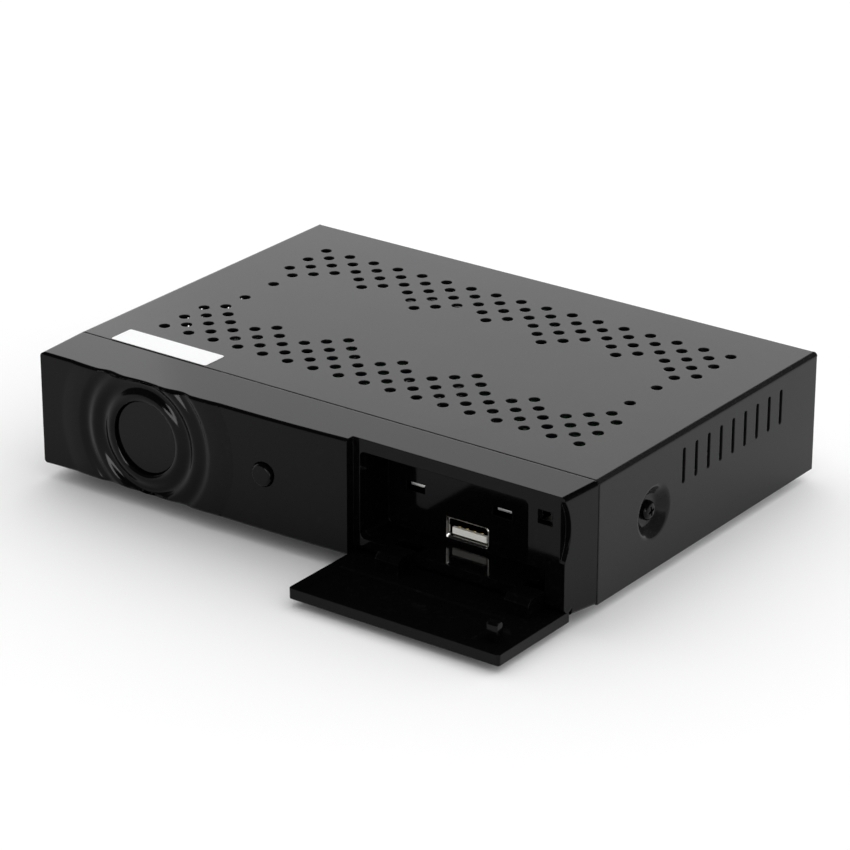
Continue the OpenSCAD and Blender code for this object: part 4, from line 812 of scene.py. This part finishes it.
def makeSocket(low, high):
    look = aerialLook
    centre = Vector(((low.x + high.x) / 2, low.y, (low.z + high.z) / 2))
    length = high.y - low.y
    bore = (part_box("f_inserts")[1].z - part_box("f_inserts")[0].z) / 2
    floor = length - look["boreDeep"]
    root = length - look["threaded"]
    profile = [(floor, 0), (floor, bore), (length - look["mouth"], bore),
               (length, bore + look["mouth"]), (length, look["crest"] - look["lead"])]
    along = length - look["lead"] * look["leadShare"]
    while along - look["pitch"] > root + look["pitch"] * look["runOut"]:
        for share, radius in ((0, look["crest"]), (look["crestEnd"], look["crest"]),
                              (look["flankEnd"], look["crest"] - look["bite"]),
                              (look["rootEnd"], look["crest"] - look["bite"])):
            profile.append((along - look["pitch"] * share, radius))
        along -= look["pitch"]
    profile += [(along, look["crest"]), (root, look["crest"]), (root, look["shank"]),
                (0, look["shank"]), (0, 0)]
    return turnedPiece("aerialSocket", centre, (0, 1, 0), (1, 0, 0), profile, look["steps"])


def makeNut(low, high):
    look = nutLook
    centre = (low + high) / 2
    tall = high.y - low.y
    radius = (high.x - low.x) / 2
    clearAll()
    bpy.ops.mesh.primitive_cylinder_add(
        vertices=look["sides"], radius=radius, depth=tall, location=centre,
        rotation=(pi / 2, radians(look["turn"]), 0))
    nut = settle(bpy.context.object)
    foot = (centre.x, low.y, centre.z)
    wide, coneAt = radius * look["coneWide"], tall * look["coneAt"]
    cone = turnedPiece("nutCone", foot, (0, 1, 0), (1, 0, 0), [
        (-look["past"], 0), (-look["past"], wide), (coneAt, wide),
        (coneAt, radius * look["coneEnd"]),
        (tall, radius * cos(pi / look["sides"]) * look["topWide"]), (tall + look["tip"], 0)],
        look["coneSteps"])
    carve(nut, cone, "INTERSECT")
    hole = turnedPiece("nutHole", foot, (0, 1, 0), (1, 0, 0), [
        (-look["past"], 0), (-look["past"], look["bore"]), (tall - look["sink"], look["bore"]),
        (tall + look["past"], look["mouth"]), (tall + look["past"], 0)], look["steps"])
    carve(nut, hole)
    softenEdges(nut, look["edge"], 1, creases["nut"])
    return nut


def makeAerials():
    sockets = [makeSocket(low, high) for low, high in looseParts("f_sockets")]
    dress(joinUp(sockets, "aerialSockets"), "nickel", "case", "f_sockets")
    nuts = [makeNut(low, high) for low, high in looseParts("f_nuts")]
    dress(joinUp(nuts, "aerialNuts"), "nickel", "case", "f_nuts")


makeAerials()
print("stage 5: aerial sockets turned")


# screws with a domed head and a cross

# lengths in metres; tip, taper, topWide and domeDrop are shares of a radius
screwLook = {"head": 0.00275, "headTall": 0.0017, "rim": 0.0005, "domeSteps": 6, "domeDrop": 0.42,
             "topWide": 0.3, "topRise": 0.00012, "midRise": 0.00015, "shank": 0.0015,
             "tip": 0.55, "tipLong": 0.0006, "taper": 0.9, "threadFrom": 0.0008,
             "pitch": 0.0005, "bite": 0.00022, "steps": 28}
crossLook = {"long": 0.0036, "wide": 0.0008, "deep": 0.0011, "past": 0.001, "turn": 12,
             "foot": (0.45, 0.5, 1), "mouth": (1.05, 1.1, 1)}


def makeBlade(tall, turn):
    # a tapered cutter for one arm of the cross
    look = crossLook
    half = Vector((look["long"] / 2, look["wide"] / 2, 0))
    blade = newBlock("blade", Vector((0, 0, tall - look["deep"])) - half,
                     Vector((0, 0, tall + look["past"])) + half)
    startEdit(blade, "FACE")
    choose("faces", lambda f: f.normal.z < -alongAxis)
    bpy.ops.transform.resize(value=look["foot"])
    choose("faces", lambda f: f.normal.z > alongAxis)
    bpy.ops.transform.resize(value=look["mouth"])
    endEdit()
    blade.rotation_euler = (0, 0, radians(turn + look["turn"]))
    return settle(blade)


def makeScrew(length):
    # drawn pointing down, the head's seat at zero
    look = screwLook
    head, tall, shank, rim = look["head"], look["headTall"], look["shank"], look["rim"]
    profile = [(-length, 0), (-length, shank * look["tip"]),
               (-length + look["tipLong"], shank * look["taper"])]
    along = -length + look["threadFrom"]
    while along < -look["pitch"]:
        profile += [(along, shank - look["bite"]), (along + look["pitch"] / 2, shank)]
        along += look["pitch"]
    profile += [(0, shank), (0, head), (rim, head)]
    for step in range(1, look["domeSteps"] + 1):
        turn = pi / 2 * step / look["domeSteps"]
        profile.append((rim + (tall - rim) * sin(turn),
                        head * (1 - look["domeDrop"] * (1 - cos(turn)))))
    profile += [(tall + look["topRise"], head * look["topWide"]), (tall + look["midRise"], 0)]
    screw = turnedPiece("screw", (0, 0, 0), (0, 0, 1), (1, 0, 0), profile, look["steps"])
    for turn in (0, 90):
        carve(screw, makeBlade(tall, turn))
    smoothByAngle(screw, creases["turned"])
    return screw


def setScrews(node, pieceName, direction, share=1.0, finish="steel", depth=0.006):
    # direction is the way the heads look out, share scales the drawn screw
    master = makeScrew(depth)
    direction = Vector(direction)
    screws = []
    for low, high in looseParts(node):
        centre = (low + high) / 2
        out = direction.copy()
        if node == "side_screws":
            out = Vector((1 if centre.x > 0 else -1, 0, 0))
        axis = [abs(c) for c in out].index(1)
        top = high[axis] if out[axis] > 0 else low[axis]
        seat = centre.copy()
        seat[axis] = top - out[axis] * screwLook["headTall"] * share
        turn = Vector((0, 0, 1)).rotation_difference(out).to_matrix().to_4x4()
        screw = copyOf(master, "screwCopy")
        screw.matrix_world = Matrix.Translation(seat) @ turn @ Matrix.Scale(share, 4)
        screws.append(settle(screw))
    bpy.data.objects.remove(master)
    dress(joinUp(screws, pieceName), finish, "case", node)


setScrews("side_screws", "sideScrews", (1, 0, 0), finish="gloss_black")
setScrews("rear_screws", "rearScrews", (0, 1, 0))
setScrews("base_screws", "baseScrews", (0, 0, -1), share=0.7)
print("stage 6: screws set")


# capacitors: sleeve with a rolled groove, bare top with a vent cross

# rim, fit, flat and crossLong are shares of a radius, topBend one of topEdge
capacitorLook = {"foot": 0.0003, "groove": 0.0004, "grooveAt": 0.0016, "topEdge": 0.0006,
                 "topBend": 0.3, "topDip": 0.0003, "rim": 0.82, "fit": 0.99, "flat": 0.9,
                 "topSkin": 0.0005, "topSide": 0.0001, "topSunk": 0.00005,
                 "crossWide": 0.0003, "crossLong": 0.7, "crossDeep": 0.00025, "crossTurn": 30,
                 "past": 0.001, "steps": 32}


def makeSleeve(centre, radius, tall):
    look = capacitorLook
    groove, at, edge, foot = look["groove"], look["grooveAt"], look["topEdge"], look["foot"]
    rim, bend, dip = radius * look["rim"], edge * look["topBend"], look["topDip"]
    return turnedPiece("sleeve", centre, (0, 0, 1), (1, 0, 0), [
        (0, 0), (0, radius - foot), (foot, radius), (at - groove, radius), (at, radius - groove),
        (at + groove, radius), (tall - edge, radius), (tall - bend, radius - bend),
        (tall, radius - edge), (tall, rim), (tall - dip, rim), (tall - dip, 0)], look["steps"])


def makeCapTop(centre, radius, tall):
    look = capacitorLook
    rim = radius * look["rim"]
    top = turnedPiece("capTop", centre, (0, 0, 1), (1, 0, 0), [
        (tall - look["topSkin"], 0), (tall - look["topSkin"], rim * look["fit"]),
        (tall - look["topSide"], rim * look["fit"]), (tall - look["topSunk"], rim * look["flat"]),
        (tall - look["topSunk"], 0)], look["steps"])
    long, wide = rim * look["crossLong"], look["crossWide"] / 2
    for turn in (0, 90):
        blade = newBlock("vent", (-long, -wide, tall - look["crossDeep"]),
                         (long, wide, tall + look["past"]))
        blade.rotation_euler = (0, 0, radians(turn + look["crossTurn"]))
        blade.location = centre
        carve(top, settle(blade))
    return top


def makeCapacitors():
    sleeves, tops = [], []
    for low, high in looseParts("capacitors"):
        centre = Vector(((low.x + high.x) / 2, (low.y + high.y) / 2, low.z))
        radius, tall = (high.x - low.x) / 2, high.z - low.z
        sleeves.append(makeSleeve(centre, radius, tall))
        tops.append(makeCapTop(centre, radius, tall))
    dress(joinUp(sleeves, "capacitorSleeves"), "can_blue", "case", "capacitors")
    dress(joinUp(tops, "capacitorTops"), "aluminium", "case")


makeCapacitors()


# sticker with rounded corners

stickerLook = {"corner": 0.0007, "cornerSteps": 4, "edge": 0.00004}


def makeSticker():
    low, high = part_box("cover_sticker")
    sticker = newBlock("coverSticker", low, high)
    startEdit(sticker, "EDGE")
    roundEdges(lambda e: runsAlong(e, 2), stickerLook["corner"], stickerLook["cornerSteps"])
    endEdit()
    softenEdges(sticker, stickerLook["edge"], 1)
    dress(sticker, "paper", "case", "cover_sticker")


makeSticker()


# the two marks on the rocker

# a face above the flat area, turned out by more than this share, is one of the rocker's halves
markLook = {"tall": 0.0034, "wide": 0.0006, "ring": 0.0016, "line": 0.0005, "proud": 0.00006,
            "sunk": 0.0002, "edge": 0.00003, "edgeSteps": 2, "steps": 32, "flat": 2e-5, "out": 0.7}


def makeRockerMarks():
    # a bar and a ring, one on each half of the rocker
    low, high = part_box("power_rocker")
    halves = {}
    for face in frame["nodes"]["power_rocker"].data.polygons:
        if face.area > markLook["flat"] and face.normal.y > markLook["out"]:
            first = [0.0, Vector(), face.normal.copy()]
            half = halves.setdefault(face.center.x < (low.x + high.x) / 2, first)
            half[0] += face.area
            half[1] += face.center * face.area
    sunk, proud = -markLook["sunk"], markLook["proud"]
    wide, tall = markLook["wide"] / 2, markLook["tall"] / 2
    bar = newBlock("markBar", (-wide, sunk, -tall), (wide, proud, tall))
    softenEdges(bar, markLook["edge"], markLook["edgeSteps"])
    inner, outer = markLook["ring"] - markLook["line"], markLook["ring"]
    ring = turnedPiece("markRing", (0, 0, 0), (0, 1, 0), (1, 0, 0), [
        (sunk, inner), (proud, inner), (proud, outer), (sunk, outer), (sunk, inner)],
        markLook["steps"])
    for mark, key in zip((bar, ring), sorted(halves)):
        area, summed, normal = halves[key]
        turn = Matrix((normal.cross((0, 0, 1)), normal, (0, 0, 1))).transposed().to_4x4()
        mark.matrix_world = Matrix.Translation(summed / area) @ turn
        settle(mark)
    dress(joinUp([bar, ring], "rockerMarks"), "white_plastic", "rocker")


makeRockerMarks()


# studio: floor, backdrop, lamps and camera

# ambient lights the matt surfaces and leans in along Y, the rest is what shiny ones reflect:
# horizon up to the height fadeFrom, ceiling from fadeTo, and dark cards, each with its side,
# the two limits of its soft edge and its tone
studioLook = {
    "floorSize": 9.0, "floorColor": (0.94, 0.94, 0.94), "ambient": 1.03, "lean": 0.7,
    "horizon": 1.66, "ceiling": 0.05, "fadeFrom": 0.44, "fadeTo": 0.54,
    "cards": [((0.79, 0.61, 0), 0.30, 0.44, 0.05), ((-0.545, -0.839, 0), 0.80, 0.90, 0.05)],
}
lampLook = {
    "overhead": {"place": (0.05, 0.1, 1.6), "aim": (0, 0, 0), "size": (1.2, 1.2),
                 "power": 1.2, "mirrored": False},
    "leftPanel": {"place": (-1.6, 0.9, 0.75), "aim": (0, 0.05, 0.02), "size": (1.2, 0.8),
                  "power": 1.3, "mirrored": True},
    "frontGlint": {"place": (-0.12, -1.7, 0.13), "aim": (0, 0, 0.02), "size": (0.8, 0.2),
                   "power": 4.8, "mirrored": True},
    "sideGlint": {"place": (1.45, -0.92, 0.16), "aim": (0.08, 0, 0.02), "size": (0.5, 0.22),
                  "power": 2.8, "mirrored": True},
}


def makeFloor():
    clearAll()
    bpy.ops.mesh.primitive_plane_add(size=studioLook["floorSize"], location=(0, 0, 0))
    floor = bpy.context.object
    floor.name = "studioFloor"
    paint = bpy.data.materials.new("studioFloorPaint")
    paint.use_nodes = True
    tree = paint.node_tree
    tree.nodes.clear()
    matt = place(tree, "BsdfDiffuse", {"Color": (*studioLook["floorColor"], 1)})
    place(tree, "OutputMaterial", None, {"Surface": matt.outputs[0]})
    floor.data.materials.append(paint)


def makeWorld():
    world = bpy.data.worlds.new("studio")
    bpy.context.scene.world = world
    world.use_nodes = True
    tree = world.node_tree
    tree.nodes.clear()
    rays = place(tree, "LightPath")
    where = place(tree, "TexCoord").outputs["Generated"]
    axes = place(tree, "SeparateXYZ", None, {0: where}).outputs
    # reflections see a white sweep that fades into a darker ceiling
    swept = remap(tree, axes["Z"], studioLook["fadeFrom"], studioLook["fadeTo"],
                  studioLook["horizon"], studioLook["ceiling"], "SMOOTHSTEP")
    # a dark card behind on the right draws the black line along the bend, one in front on the left
    # the black arcs in the rings
    level = place(tree, "VectorMath", {"operation": "MULTIPLY", 1: (1, 1, 0)}, {0: where})
    level = place(tree, "VectorMath", {"operation": "NORMALIZE"}, {0: level.outputs[0]})
    for side, start, end, tone in studioLook["cards"]:
        beside = place(tree, "VectorMath", {"operation": "DOT_PRODUCT", 1: side},
                       {0: level.outputs[0]})
        card = remap(tree, beside.outputs["Value"], start, end, 1.0, tone, "SMOOTHSTEP")
        swept = calculate(tree, "MULTIPLY", swept, card)
    mirrored = calculate(tree, "MAXIMUM", rays.outputs["Is Glossy Ray"],
                         rays.outputs["Is Transmission Ray"])
    plain = calculate(tree, "SUBTRACT", 1.0, mirrored)
    # the soft light leans in from behind, which deepens the shadow in front
    leaning = calculate(tree, "MULTIPLY_ADD", axes["Y"], studioLook["lean"], 1.0)
    ambient = calculate(tree, "MULTIPLY", leaning, studioLook["ambient"])
    ambient = calculate(tree, "MULTIPLY", plain, ambient)
    seen = calculate(tree, "MULTIPLY_ADD", mirrored, swept, ambient)
    strength = calculate(tree, "MAXIMUM", seen, rays.outputs["Is Camera Ray"])
    glow = place(tree, "Background", {"Color": (1, 1, 1, 1)}, {"Strength": strength})
    place(tree, "OutputWorld", None, {"Surface": glow.outputs[0]})


def makeLamps():
    for name, look in lampLook.items():
        data = bpy.data.lights.new(name, "AREA")
        data.shape = "RECTANGLE"
        data.size, data.size_y = look["size"]
        data.energy = look["power"]
        lamp = bpy.data.objects.new(name, data)
        bpy.context.scene.collection.objects.link(lamp)
        lamp.location = look["place"]
        lamp.visible_glossy = look["mirrored"]
        way = Vector(look["aim"]) - Vector(look["place"])
        lamp.rotation_euler = way.to_track_quat("-Z", "Y").to_euler()


# worked out from the vents in the photo: the three directions are the camera's own axes
cameraLook = {"place": (0.5639, -0.7668, 0.4262), "right": (0.80808, 0.58906, 0.00187),
              "up": (-0.23317, 0.31694, 0.91934), "back": (0.54096, -0.74334, 0.39346),
              "sensor": 36, "lens": 157.95, "shift": (-0.0035, -0.0006), "clip": 0.01}


def makeCamera():
    data = bpy.data.cameras.new("photoCamera")
    camera = bpy.data.objects.new("photoCamera", data)
    bpy.context.scene.collection.objects.link(camera)
    axes = Matrix([cameraLook["right"], cameraLook["up"], cameraLook["back"]]).transposed()
    camera.matrix_world = Matrix.Translation(cameraLook["place"]) @ axes.to_4x4()
    data.sensor_width = cameraLook["sensor"]
    data.lens = cameraLook["lens"]
    data.shift_x, data.shift_y = cameraLook["shift"]
    data.clip_start = cameraLook["clip"]
    bpy.context.scene.camera = camera


makeFloor()
makeWorld()
makeLamps()
makeCamera()
bpy.context.scene.view_settings.view_transform = "Standard"
clearAll()
print("stage 7: studio ready")
